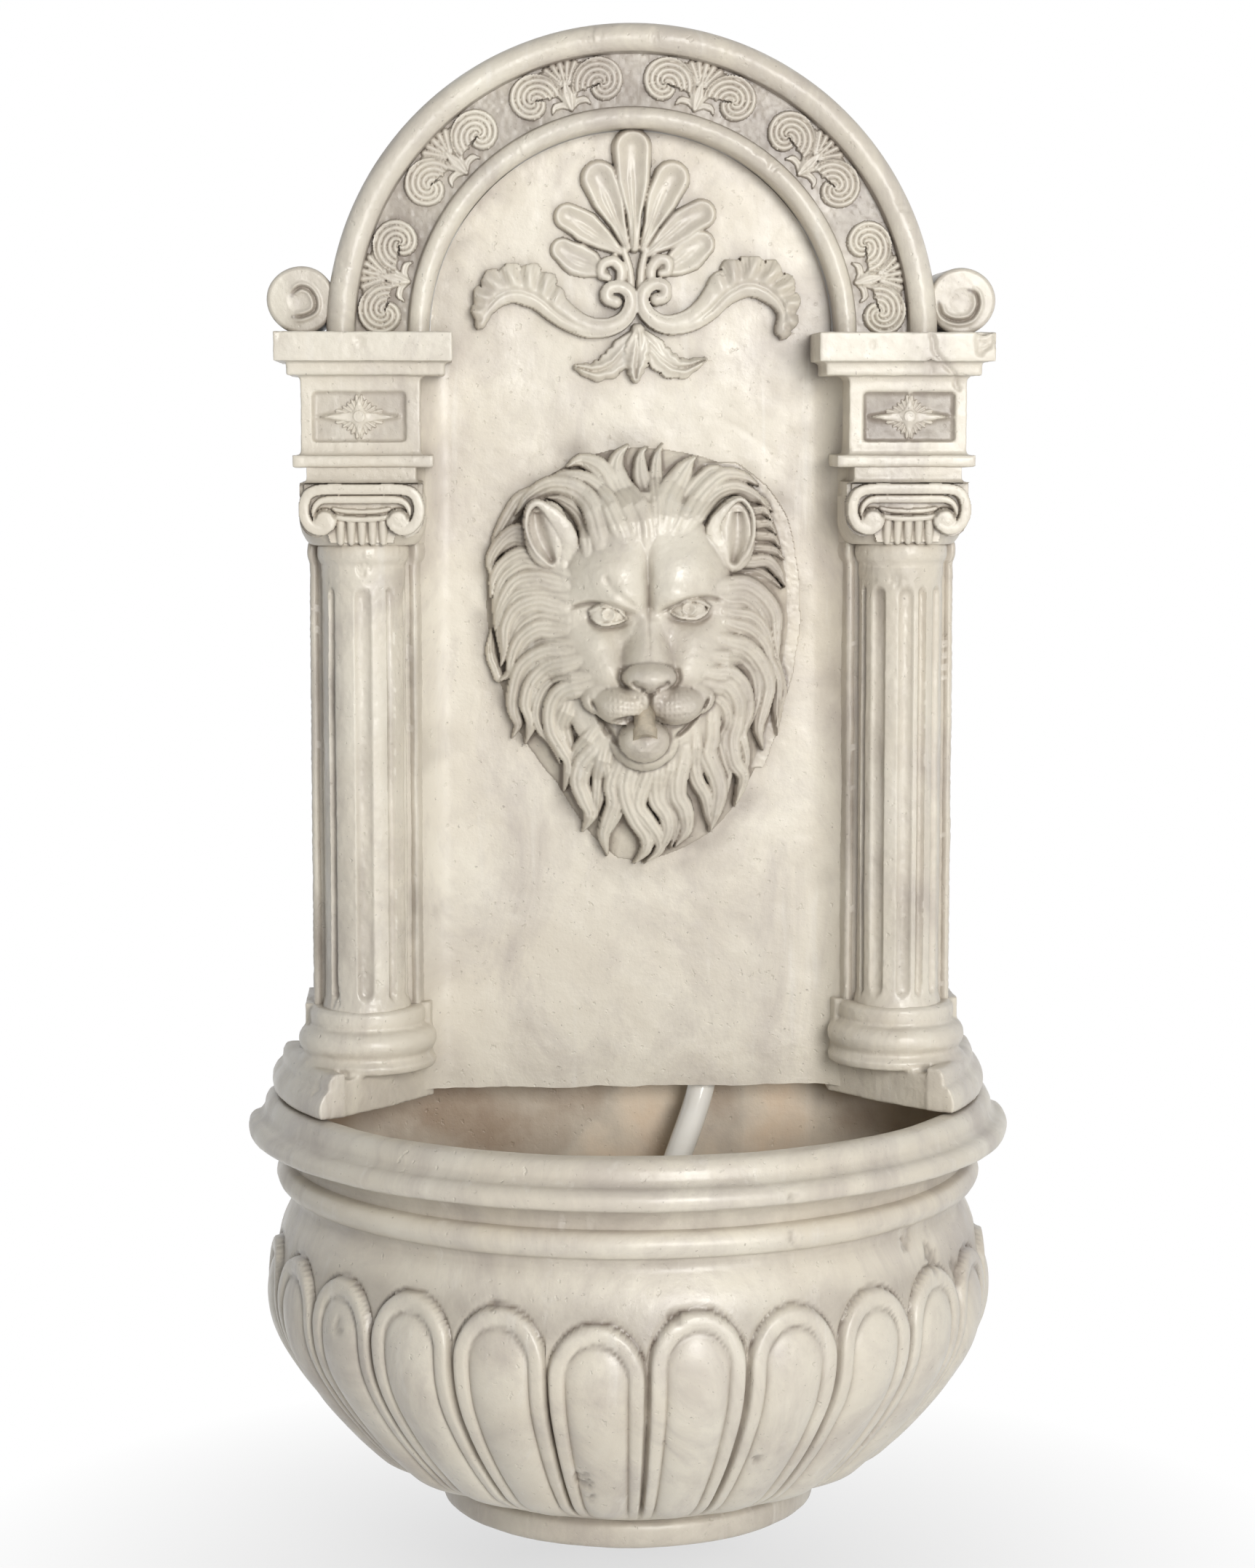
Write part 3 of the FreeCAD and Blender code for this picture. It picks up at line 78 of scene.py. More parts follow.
def softMax(a, b, blend):  # the higher of two heights, with a fillet between them
    h = np.clip(0.5 + 0.5 * (a - b) / blend, 0, 1)
    return b + (a - b) * h + blend * h * (1 - h)


def valueNoise(x, y, z, seed=0):  # smooth lattice noise from -1 to 1
    x, y, z = np.broadcast_arrays(x, y, z)
    cells = [np.floor(v).astype(np.int64) for v in (x, y, z)]
    parts = [v - c for v, c in zip((x, y, z), cells)]
    fades = [p * p * (3 - 2 * p) for p in parts]
    total = 0
    for corner in range(8):
        step = [(corner >> k) & 1 for k in range(3)]
        key = sum((c + s) * m for c, s, m in zip(cells, step, (1619, 31337, 6971))) + seed * 1013
        key = (key << 13) ^ key
        key = (key * (key * key * 15731 + 789221) + 1376312589) & 0x7FFFFFFF
        weight = 1
        for fade, s in zip(fades, step):
            weight = weight * (fade if s else 1 - fade)
        total = total + weight * (1 - key / 1073741824.0)
    return total


def fractalNoise(x, y, z, size, octaves=3, seed=0):
    total, gain, reach = 0, 1.0, 0.0
    for k in range(octaves):
        f = 2**k / size
        total = total + gain * valueNoise(x * f, y * f, z * f, seed + k)
        reach += gain
        gain *= 0.5
    return total / reach


def smoothLine(points, perSpan=8):  # a Catmull-Rom curve through the points
    p = np.array(points, float)
    ends = np.vstack([2 * p[0] - p[1], p, 2 * p[-1] - p[-2]])
    t = np.linspace(0, 1, perSpan, endpoint=False)[:, None]
    line = []
    for a, b, c, d in zip(ends, ends[1:], ends[2:], ends[3:]):
        line.append(
            0.5 * (2 * b + (c - a) * t + (2 * a - 5 * b + 4 * c - d) * t**2 + (3 * b - a - 3 * c + d) * t**3)
        )
    return np.vstack(line + [p[-1:]])


def alongLine(line):
    steps = np.hypot(*np.diff(line, axis=0).T)
    run = np.concatenate([[0], np.cumsum(steps)])
    return run / run[-1], run[-1]


def nearLine(line, x, z):
    # distance from a line, how far along it from 0 to 1, and the side, for every point
    share, _ = alongLine(line)
    best = np.full(x.shape, 1e9)
    where = np.zeros(x.shape)
    side = np.zeros(x.shape)
    for i in range(len(line) - 1):
        (ax, az), (bx, bz) = line[i], line[i + 1]
        dx, dz = bx - ax, bz - az
        t = np.clip(((x - ax) * dx + (z - az) * dz) / (dx * dx + dz * dz + 1e-12), 0, 1)
        away = np.hypot(x - ax - t * dx, z - az - t * dz)
        closer = away < best
        best = np.where(closer, away, best)
        where = np.where(closer, share[i] + t * (share[i + 1] - share[i]), where)
        side = np.where(closer, np.sign(dx * (z - az) - dz * (x - ax)), side)
    return best, where, side


def blendValues(values, where):  # values spread evenly along a line, read at each place
    return np.interp(where, np.linspace(0, 1, len(values)), values)


def sheetMesh(name, points):  # a grid primitive laid over rows and columns of points, in mm
    rows, columns = points.shape[:2]
    deselectAll()
    bpy.ops.mesh.primitive_grid_add(x_subdivisions=columns - 1, y_subdivisions=rows - 1, size=1)
    piece = bpy.context.object
    piece.name = name
    piece.location = (0, 0, 0)
    piece.data.vertices.foreach_set("co", (points.reshape(-1, 3) * mm).astype(np.float32).ravel())
    piece.data.update()
    return piece


def meshPoints(piece):
    co = np.zeros(len(piece.data.vertices) * 3, np.float32)
    piece.data.vertices.foreach_get("co", co)
    return co.reshape(-1, 3).astype(float) / mm


def setPoints(piece, points):
    piece.data.vertices.foreach_set("co", (points * mm).astype(np.float32).ravel())
    piece.data.update()


def bell(u):
    return np.exp(-(u**2))


def crown(u, power):  # 1 over the middle of a rounded form, 0 from its edge at 1 outwards
    return np.clip(1 - u**2, 0, 1) ** power


def sided(title, side):
    return title + ("Left" if side < 0 else "Right")


def dropFaces(piece, marks, needed):
    # lets go of a grid's faces that have fewer marked corners than needed
    index = np.arange(marks.size).reshape(marks.shape)
    corners = np.stack([index[:-1, :-1], index[:-1, 1:], index[1:, :-1], index[1:, 1:]]).reshape(4, -1)
    takeUp(piece)
    bpy.ops.object.mode_set(mode="EDIT")
    bpy.ops.mesh.select_mode(type="FACE")
    bpy.ops.mesh.select_all(action="DESELECT")
    bpy.ops.object.mode_set(mode="OBJECT")
    piece.data.polygons.foreach_set("select", marks.ravel()[corners].sum(axis=0) < needed)
    bpy.ops.object.mode_set(mode="EDIT")
    bpy.ops.mesh.delete(type="FACE")
    bpy.ops.object.mode_set(mode="OBJECT")


def boxBlur(values, reach):
    # a running mean along both ways
    for _ in range(2):
        run = np.cumsum(np.pad(values, [(reach + 1, reach), (0, 0)], mode="edge"), axis=0)
        values = ((run[2 * reach + 1 :] - run[: -2 * reach - 1]) / (2 * reach + 1)).T
    return values


def hollowness(height, near, far):
    # 0 on the high places, up to 1 in grooves and along the feet of raised forms
    close = boxBlur(boxBlur(height, near), near) - height
    wide = boxBlur(boxBlur(height, far), far) - height
    return np.clip(0.5 * close + 0.16 * wide, 0, 1)


def paintShadeAndWash(piece, values):
    # painted shade in the hollows and at the feet of raised forms together with the cast stone's grey wash,
    # kept on the points for the material
    layer = piece.data.attributes.new("wash", "FLOAT", "POINT")
    layer.data.foreach_set("value", np.asarray(values, np.float32).ravel())


def tidyMesh(piece, angle=60, fill=True):
    takeUp(piece)
    bpy.ops.object.mode_set(mode="EDIT")
    bpy.ops.mesh.select_all(action="SELECT")
    bpy.ops.mesh.remove_doubles(threshold=0.00002)
    if fill:
        bpy.ops.mesh.select_all(action="DESELECT")
        bpy.ops.mesh.select_mode(type="EDGE")
        bpy.ops.mesh.select_non_manifold(extend=False)
        bpy.ops.mesh.fill()
    bpy.ops.mesh.select_mode(type="VERT")
    bpy.ops.mesh.select_all(action="SELECT")
    bpy.ops.mesh.normals_make_consistent(inside=False)
    bpy.ops.object.mode_set(mode="OBJECT")
    bpy.ops.object.shade_smooth_by_angle(angle=math.radians(angle))


def finishPiece(piece, material, body, slot, *replaced):
    piece.data.materials.clear()
    piece.data.materials.append(material)
    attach(piece, body)
    if replaced:
        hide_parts(*replaced)
    print("made", piece.name, len(piece.data.polygons), "faces")


# Camera, stage and light

view = {
    "place": (-92, -1757, 586),
    "turn": 0.0522,
    "tilt": 0.1096,
    "lens": 75.13,
}


def addCamera():
    deselectAll()
    bpy.ops.object.camera_add(
        location=Vector(view["place"]) * mm,
        rotation=(math.pi / 2 - view["tilt"], 0, -view["turn"]),
    )
    camera = bpy.context.object
    camera.data.lens = view["lens"]
    camera.data.sensor_width = 36
    camera.data.clip_start = 0.05
    bpy.context.scene.camera = camera


stage = {
    "floor": -60,
    "reach": 3000,
    "key": {"place": (700, -2800, 1050), "size": 1000, "power": 50, "colour": (1, 0.985, 0.96)},
    "fill": {"place": (800, -2100, 100), "size": 1300, "power": 10, "colour": (1, 0.99, 0.97)},
    "left rim": {"place": (-900, 250, 500), "size": 700, "power": 0.5, "colour": (1, 1, 1)},
    "right rim": {"place": (900, 250, 600), "size": 700, "power": 0.6, "colour": (1, 1, 1)},
    "aim": (0, -50, 400),
    "sky": 0.16,
    "shade": (90, 420, 0.6),  # where the floor's shadow fades to white, and how faint it is close by
}


def joined(tree, kind, a, b):
    node = tree.nodes.new("ShaderNodeMath")
    node.operation = kind
    tree.links.new(a, node.inputs[0])
    tree.links.new(b, node.inputs[1])
    return node.outputs[0]


def whiteBackground(tree, shader):
    # white to the camera and in reflections, the plain shader for everything else
    rays = tree.nodes.new("ShaderNodeLightPath").outputs
    seen = joined(tree, "MAXIMUM", rays["Is Camera Ray"], rays["Is Glossy Ray"])
    either = joined(tree, "MAXIMUM", seen, rays["Is Transmission Ray"])
    white = tree.nodes.new("ShaderNodeEmission" if shader.type != "BACKGROUND" else "ShaderNodeBackground")
    white.inputs["Color"].default_value = (1, 1, 1, 1)
    white.inputs["Strength"].default_value = 1
    mix = tree.nodes.new("ShaderNodeMixShader")
    for source, socket in zip((either, shader.outputs[0], white.outputs[0]), mix.inputs):
        tree.links.new(source, socket)
    return mix


def addStage():
    world = bpy.data.worlds.new("studio")
    bpy.context.scene.world = world
    world.use_nodes = True
    tree = world.node_tree
    background = tree.nodes["Background"]
    background.inputs["Color"].default_value = (0.95, 0.97, 1, 1)
    background.inputs["Strength"].default_value = stage["sky"]
    mix = whiteBackground(tree, background)
    tree.links.new(mix.outputs[0], tree.nodes["World Output"].inputs["Surface"])
    deselectAll()
    bpy.ops.mesh.primitive_plane_add(size=2 * stage["reach"] * mm, location=(0, 0, stage["floor"] * mm))
    floor = bpy.context.object
    floor.name = "floor"
    material = bpy.data.materials.new("paleFloor")
    material.use_nodes = True
    tree = material.node_tree
    shader = tree.nodes["Principled BSDF"]
    shader.inputs["Base Color"].default_value = (0.95, 0.95, 0.95, 1)
    shader.inputs["Roughness"].default_value = 0.9
    mix = whiteBackground(tree, shader)
    spot = tree.nodes.new("ShaderNodeTexCoord")
    reach = tree.nodes.new("ShaderNodeVectorMath")
    reach.operation = "LENGTH"
    tree.links.new(spot.outputs["Object"], reach.inputs[0])
    fade = tree.nodes.new("ShaderNodeMapRange")
    near, far, faint = stage["shade"]
    fade.inputs["From Min"].default_value = near * mm
    fade.inputs["From Max"].default_value = far * mm
    fade.inputs["To Min"].default_value = faint
    tree.links.new(reach.outputs["Value"], fade.inputs["Value"])
    share = joined(tree, "MULTIPLY", mix.inputs[0].links[0].from_socket, fade.outputs[0])
    tree.links.new(share, mix.inputs[0])
    tree.links.new(mix.outputs[0], tree.nodes["Material Output"].inputs["Surface"])
    floor.data.materials.append(material)
    for name in ("key", "fill", "left rim", "right rim"):
        lamp = stage[name]
        bpy.ops.object.light_add(type="AREA", location=Vector(lamp["place"]) * mm)
        light = bpy.context.object
        light.name = name
        light.data.size = lamp["size"] * mm
        light.data.energy = lamp["power"]
        light.data.color = lamp["colour"]
        way = (Vector(stage["aim"]) - Vector(lamp["place"])).normalized()
        light.rotation_euler = way.to_track_quat("-Z", "Y").to_euler()
    bpy.context.scene.view_settings.view_transform = "Standard"


addCamera()
addStage()
print("camera and stage ready")


# Materials


class NodeBoard:
    # a short way to write node trees
    def __init__(self, name):
        self.material = bpy.data.materials.new(name)
        self.material.use_nodes = True
        self.tree = self.material.node_tree
        self.shader = self.tree.nodes["Principled BSDF"]
        self.place = self.node("ShaderNodeTexCoord").outputs["Object"]

    def node(self, kind, **settings):
        made = self.tree.nodes.new(kind)
        for key, value in settings.items():
            setattr(made, key, value)
        return made

    def join(self, source, target):
        self.tree.links.new(source, target)

    def mapped(self, scale=(1, 1, 1), shift=(0, 0, 0), turn=(0, 0, 0)):
        made = self.node("ShaderNodeMapping")
        self.join(self.place, made.inputs["Vector"])
        made.inputs["Scale"].default_value = scale
        made.inputs["Location"].default_value = shift
        made.inputs["Rotation"].default_value = turn
        return made.outputs[0]

    def noise(self, scale, detail=4, rough=0.55, source=None, warp=0):
        made = self.node("ShaderNodeTexNoise")
        made.inputs["Scale"].default_value = scale
        made.inputs["Detail"].default_value = detail
        made.inputs["Roughness"].default_value = rough
        made.inputs["Distortion"].default_value = warp
        self.join(source or self.place, made.inputs["Vector"])
        return made.outputs["Fac"]

    def ramp(self, source, stops):
        made = self.node("ShaderNodeValToRGB")
        points = made.color_ramp.elements
        while len(points) < len(stops):
            points.new(0.5)
        for point, (spot, value) in zip(points, stops):
            point.position = spot
            point.color = value if isinstance(value, tuple) else (value, value, value, 1)
        self.join(source, made.inputs["Fac"])
        return made.outputs["Color"]

    def maths(self, kind, a, b=0.0):
        made = self.node("ShaderNodeMath", operation=kind)
        for socket, value in zip(made.inputs, (a, b)):
            if isinstance(value, (int, float)):
                socket.default_value = value
            else:
                self.join(value, socket)
        return made.outputs[0]

    def mix(self, factor, a, b):
        made = self.node("ShaderNodeMix", data_type="RGBA")
        for index, value in ((0, factor), (6, a), (7, b)):
            socket = made.inputs[index]
            if isinstance(value, (int, float, tuple)):
                socket.default_value = value
            else:
                self.join(value, socket)
        return made.outputs[2]

    def bump(self, height, distance, strength=1.0, under=None):
        made = self.node("ShaderNodeBump")
        made.inputs["Strength"].default_value = strength
        made.inputs["Distance"].default_value = distance
        self.join(height, made.inputs["Height"])
        if under:
            self.join(under, made.inputs["Normal"])
        return made.outputs[0]


stone = {
    "ivory": (0.72, 0.66, 0.555, 1),
    "cream": (0.8, 0.75, 0.645, 1),
    # painted shade colour that darkens the hollows; also the grey wash and the pits' colour
    "wash": (0.2, 0.16, 0.13, 1),
    "lilac": (0.47, 0.415, 0.375, 1),
    "pale": (0.86, 0.83, 0.77, 1),
    "mud": (0.3, 0.19, 0.115, 1),
    "tan": (0.8, 0.62, 0.45, 1),
    "recess": 0.011,
    "pit": 0.0005,
}


def castStone(name, shadeAndWashDepth=1.0, stain=None):
    board = NodeBoard(name)
    shader = board.shader
    cloud = board.noise(9, 5, 0.6, warp=0.6)
    colour = board.mix(board.ramp(cloud, [(0.4, 0.0), (0.62, 1.0)]), stone["ivory"], stone["cream"])
    haze = board.noise(15, 6, 0.66, board.mapped(scale=(1, 1, 0.6), shift=(0.3, 0.1, 0.7)), 0.9)
    haze = board.maths("MULTIPLY", board.ramp(haze, [(0.45, 0.0), (0.66, 1.0)]), 0.6)
    colour = board.mix(haze, colour, stone["lilac"])
    # painted shade: an ambient occlusion node and the kept wash attribute darken the colour in hollows,
    # creases and at the feet of raised forms, in patches, mixed with the cast stone's grey wash
    hollow = board.node("ShaderNodeAmbientOcclusion", samples=4)
    hollow.inputs["Distance"].default_value = stone["recess"]
    depth = board.ramp(hollow.outputs["AO"], [(0.3, 1.0), (0.9, 0.0)])
    kept = board.node("ShaderNodeAttribute", attribute_name="wash").outputs["Fac"]
    depth = board.maths("MAXIMUM", board.maths("MULTIPLY", depth, 0.72), board.maths("MULTIPLY", kept, 0.92))
    patchy = board.ramp(board.noise(34, 5, 0.62), [(0.3, 0.5), (0.64, 1.0)])
    depth = board.maths("MULTIPLY", board.maths("MULTIPLY", depth, patchy), shadeAndWashDepth)
    colour = board.mix(depth, colour, stone["wash"])
    streak = board.noise(60, 4, 0.6, board.mapped(scale=(1.6, 1.6, 0.12), turn=(0, 0.25, 0)), 0.3)
    streak = board.maths("MULTIPLY", board.ramp(streak, [(0.6, 0.0), (0.74, 1.0)]), 0.35)
    colour = board.mix(streak, colour, stone["pale"])
    if stain:
        colour = stain(board, colour)
    speck = board.noise(420, 2, 0.6)
    speck = board.maths("MULTIPLY", board.ramp(speck, [(0.7, 0.0), (0.77, 1.0)]), 0.5)
    colour = board.mix(speck, colour, stone["wash"])
    board.join(colour, shader.inputs["Base Color"])
    rough = board.ramp(board.noise(45, 5, 0.65), [(0.3, 0.3), (0.7, 0.58)])
    board.join(rough, shader.inputs["Roughness"])
    shader.inputs["Specular IOR Level"].default_value = 0.5
    shader.inputs["Coat Weight"].default_value = 0.3
    shader.inputs["Coat Roughness"].default_value = 0.25
    soft = board.bump(board.noise(70, 4, 0.6), 0.0012, 0.55)
    grain = board.bump(board.noise(480, 4, 0.65), 0.00025, 0.5, soft)
    pits = board.ramp(board.noise(260, 2, 0.5), [(0.24, 0.0), (0.33, 1.0)])
    board.join(board.bump(pits, stone["pit"], 0.6, grain), shader.inputs["Normal"])
    return board.material


castIvory = castStone("castIvory")


def finishCasting(piece, *replaced):
    finishPiece(piece, castIvory, "fountain", "cast_stone", *replaced)


def plainFinish(name, colour, rough, speckle, grain, bump, metal=0.0, coat=0.0):
    board = NodeBoard(name)
    tone = board.ramp(board.noise(grain, 4, 0.6), [(0.35, 0.0), (0.65, 1.0)])
    other = tuple(c * speckle for c in colour[:3]) + (1,)
    board.join(board.mix(tone, colour, other), board.shader.inputs["Base Color"])
    board.join(
        board.ramp(board.noise(grain * 1.7, 4, 0.6), [(0.3, rough * 0.8), (0.7, min(1, rough * 1.25))]),
        board.shader.inputs["Roughness"],
    )
    board.shader.inputs["Metallic"].default_value = metal
    board.shader.inputs["Coat Weight"].default_value = coat
    board.join(board.bump(board.noise(grain * 3, 3, 0.6), bump, 0.5), board.shader.inputs["Normal"])
    return board.material


finishes = {
    "pump_plastic": plainFinish("pumpPlastic", (0.03, 0.03, 0.033, 1), 0.45, 1.35, 220, 0.0002, coat=0.1),
    "sponge": plainFinish("openFoam", (0.03, 0.033, 0.034, 1), 0.95, 2.4, 900, 0.0012),
    "dial_plastic": plainFinish("dialPlastic", (0.05, 0.12, 0.2, 1), 0.35, 1.2, 200, 0.0001, coat=0.2),
    "impeller_plastic": plainFinish("whitePlastic", (0.72, 0.72, 0.7, 1), 0.35, 0.94, 200, 0.0001, coat=0.2),
    "magnet": plainFinish("ferrite", (0.03, 0.03, 0.033, 1), 0.5, 1.6, 320, 0.0002, metal=0.4),
    "shaft_ceramic": plainFinish("groundCeramic", (0.78, 0.78, 0.75, 1), 0.2, 0.96, 260, 0.00005),
    "seal_rubber": plainFinish("softRubber", (0.018, 0.018, 0.018, 1), 0.75, 1.5, 300, 0.0002),
    "hanger_steel": plainFinish("zincPlate", (0.55, 0.56, 0.57, 1), 0.32, 0.85, 120, 0.0001, metal=1.0),
    "spout_metal": plainFinish("dullBrass", (0.6, 0.53, 0.42, 1), 0.5, 0.7, 160, 0.0002, metal=0.4),
}


def dressNodes():
    for row in frame["record"]["subparts"]:
        finish = finishes.get(row["material_slot"])
        if finish:
            mesh = nodes[row["node"]].data
            mesh.materials.clear()
            mesh.materials.append(finish)


dressNodes()
print("materials ready")


# Hose

hose = {
    "route": [
        (-3, -76, 72),
        (-3, -76, 114),
        (6, -66, 156),
        (24, -41, 194),
        (41, -20, 234),
        (46, -17, 282),
        (31, -17, 329),
        (4, -17, 378),
        (4, -17, 426),
    ],
    "outside": 14.4,
    "length": 381.6,
}


def milkyVinyl():
    board = NodeBoard("milkyVinyl")
    cloud = board.ramp(board.noise(60, 4, 0.6), [(0.3, 0.0), (0.7, 1.0)])
    colour = board.mix(cloud, (0.93, 0.9, 0.83, 1), (0.97, 0.95, 0.9, 1))
    board.join(colour, board.shader.inputs["Base Color"])
    board.shader.inputs["Roughness"].default_value = 0.22
    board.shader.inputs["Transmission Weight"].default_value = 0.05
    board.shader.inputs["IOR"].default_value = 1.4
    board.shader.inputs["Coat Weight"].default_value = 0.3
    board.join(board.bump(board.noise(150, 3, 0.5), 0.0004, 0.3), board.shader.inputs["Normal"])
    return board.material


def addHose():
    curve = bpy.data.curves.new("hoseLine", "CURVE")
    curve.dimensions = "3D"
    line = curve.splines.new("NURBS")
    line.points.add(len(hose["route"]) - 1)
    for point, spot in zip(line.points, hose["route"]):
        point.co = (*(Vector(spot) * mm), 1)
    line.order_u = 3
    line.use_endpoint_u = True
    line.resolution_u = 16
    curve.bevel_depth = hose["outside"] / 2 * mm
    curve.bevel_resolution = 8
    piece = bpy.data.objects.new("deliveryHose", curve)
    bpy.context.scene.collection.objects.link(piece)
    curve.materials.append(milkyVinyl())
    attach(piece, "fountain")
    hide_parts("delivery_hose")
    print("made", piece.name)


addHose()


# Basin

basin = {
    "profile": [  # runs of (radius, height) from the axis under the foot, over the rim, to the axis inside
        [(0, 0), (60, 0), (97, 0)],
        [(97, 0), (100.4, 1.2), (101.8, 4), (101.8, 12), (99, 15.5)],
        [(99, 15.5), (119, 24.5), (136, 36), (149, 48), (160, 60), (170.5, 73), (179.5, 86), (186.5, 98),
         (191, 110), (192.8, 122), (192.3, 134), (190.6, 146), (187.6, 158), (181.8, 170.5)],
        [(181.8, 170.5), (181.6, 174), (183.4, 177.2)],
        [(183.4, 177.2), (188, 178.6), (191, 184.5), (188.3, 190.2), (183.6, 191.8)],
        [(183.6, 191.8), (184, 196), (187.5, 201), (193.5, 204), (199, 205)],
        [(199, 205), (203.8, 205.8), (205.7, 208.5), (205.4, 212.5), (203, 215.4), (199.5, 216.8)],
        [(199.5, 216.8), (197.4, 219.5), (196.6, 223.5), (193.8, 228), (188.5, 229.7), (183.8, 228.6),
         (181, 226)],
        [(181, 226), (178.5, 220), (175.5, 208), (174.5, 190), (175.5, 168), (183, 150), (186, 128),
         (183, 106), (171, 84), (152, 60), (130, 41), (110, 27), (92, 19), (60, 18), (0, 18)],
    ],
    "spacing": [30, 1.6, 2.0, 1.7, 1.5, 1.9, 1.5, 1.8, 12],
    "lobes": 12,
    "acrossLobe": (0.02, 0.045, 0.075, 0.11, 0.16, 0.22, 0.28, 0.33, 0.36, 0.385, 0.41, 0.45, 0.5, 0.56, 0.63,
                   0.7, 0.78, 0.86, 0.94),
    "lobeFoot": 15.5,
    "lobeTop": 153,
    "footRadius": 99.5,
    "dropped": {5: 6.0, 3: -1.5, 7: 1.5, 9: -1.0},  # lobes whose tops sit lower or higher
    "band": 0.37,  # share of a lobe's half width
    "crumble": 1.5,
    "bandRise": 3.4,
    "creaseDepth": 1.6,
    "bulgeRise": 5.4,
    "bulgeFoot": 0.9,
    "archStretch": 1.15,
    "ripple": 0.35,
    "backWall": 5,
}


def bowlPath():
    path = []
    for points, spacing in zip(basin["profile"], basin["spacing"]):
        line = smoothLine(points, 24)
        share, length = alongLine(line)
        spots = np.linspace(0, 1, max(3, int(round(length / spacing)) + 1))
        part = np.column_stack([np.interp(spots, share, line[:, k]) for k in (0, 1)])
        path.append(part if not path else part[1:])
    print("bowl section points", sum(len(p) for p in path))
    return np.vstack(path)


def lobeHeights(across, radius, height, number):
    # how far a lobe stands off the bowl: across runs from -1 to 1 over its pitch
    half = radius * math.pi / basin["lobes"] / 2
    top = basin["lobeTop"] - np.array([basin["dropped"].get(int(n), 0.0) for n in number])[:, None]
    arch = np.minimum(half, 25.5) * basin["archStretch"]
    centre = top - arch
    x = across * half
    up = np.clip((height - centre) / arch, 0, None)
    rim = half - np.hypot(x, up * half)
    inside = np.where(up > 0, rim, half - np.abs(x))
    t = inside / half
    band = basin["band"]
    edge = smoothStep(0.0, 0.1, t)
    bowed = 1 - 0.22 * ((t - band / 2) / (band / 2)) ** 2
    raised = basin["bandRise"] * edge * np.where(t < band, bowed, 1)
    fallen = smoothStep(band - 0.05, band + 0.045, t)
    u = np.clip((t - band - 0.02) / (1 - band - 0.02), 0, 1)
    bulge = basin["bulgeFoot"] + (basin["bulgeRise"] - basin["bulgeFoot"]) * np.sqrt(1 - (1 - u) ** 2)
    shade = 1 - 0.35 * smoothStep(top - 55, top - 8, height)  # the field sits deeper under the arch
    lift = raised * (1 - fallen) + bulge * fallen * shade
    crease = -basin["creaseDepth"] * bell(t / 0.045) * smoothStep(-0.12, 0.0, t)
    lift = np.where(t > -0.12, lift * (t > 0) + crease, 0)
    foot = smoothStep(basin["lobeFoot"], basin["lobeFoot"] + 24, height)
    return lift * foot


def chipAway(points, spots):
    # crumbled patches: every spot is a centre, a size and a depth in mm
    loss = np.zeros(len(points))
    for centre, size, depth in spots:
        gap = points - np.array(centre)
        near = np.linalg.norm(gap * np.array([1, 1, 0.75]), axis=1)
        close = near < size * 1.6
        p = points[close]
        torn = fractalNoise(p[:, 0], p[:, 1], p[:, 2], 5.0, 4, seed=7)
        ragged = near[close] / size + 0.75 * torn
        patch = 1 - smoothStep(0.45, 0.72, ragged)
        crumbs = 0.55 + 0.45 * valueNoise(p[:, 0] / 1.6, p[:, 1] / 1.6, p[:, 2] / 1.6, seed=3)
        loss[close] = np.maximum(loss[close], depth * patch * crumbs)
    return loss


bowlChips = [  # places on the bowl's skin, their size and depth
    ((-31, -158, 58), 9, 1.5),
    ((-27, -150, 46), 7, 1.5),
    ((12, -190, 150), 5, 1.2),
    ((-76, -172, 152), 5, 1.2),
    ((57, -160, 68), 5, 1.3),
    ((136, -120, 168), 8, 1.2),
    ((150, -112, 156), 8, 1.4),
    ((166, -92, 146), 8, 1.3),
    ((-150, -118, 128), 6, 1.1),
    ((70, -192, 211), 4, 1.0),
    ((74, -178, 186), 5, 1.2),
    ((-96, -172, 211), 4, 0.8),
    ((-62, -181, 200), 4, 0.9),
    ((96, -176, 212), 4, 0.9),
]


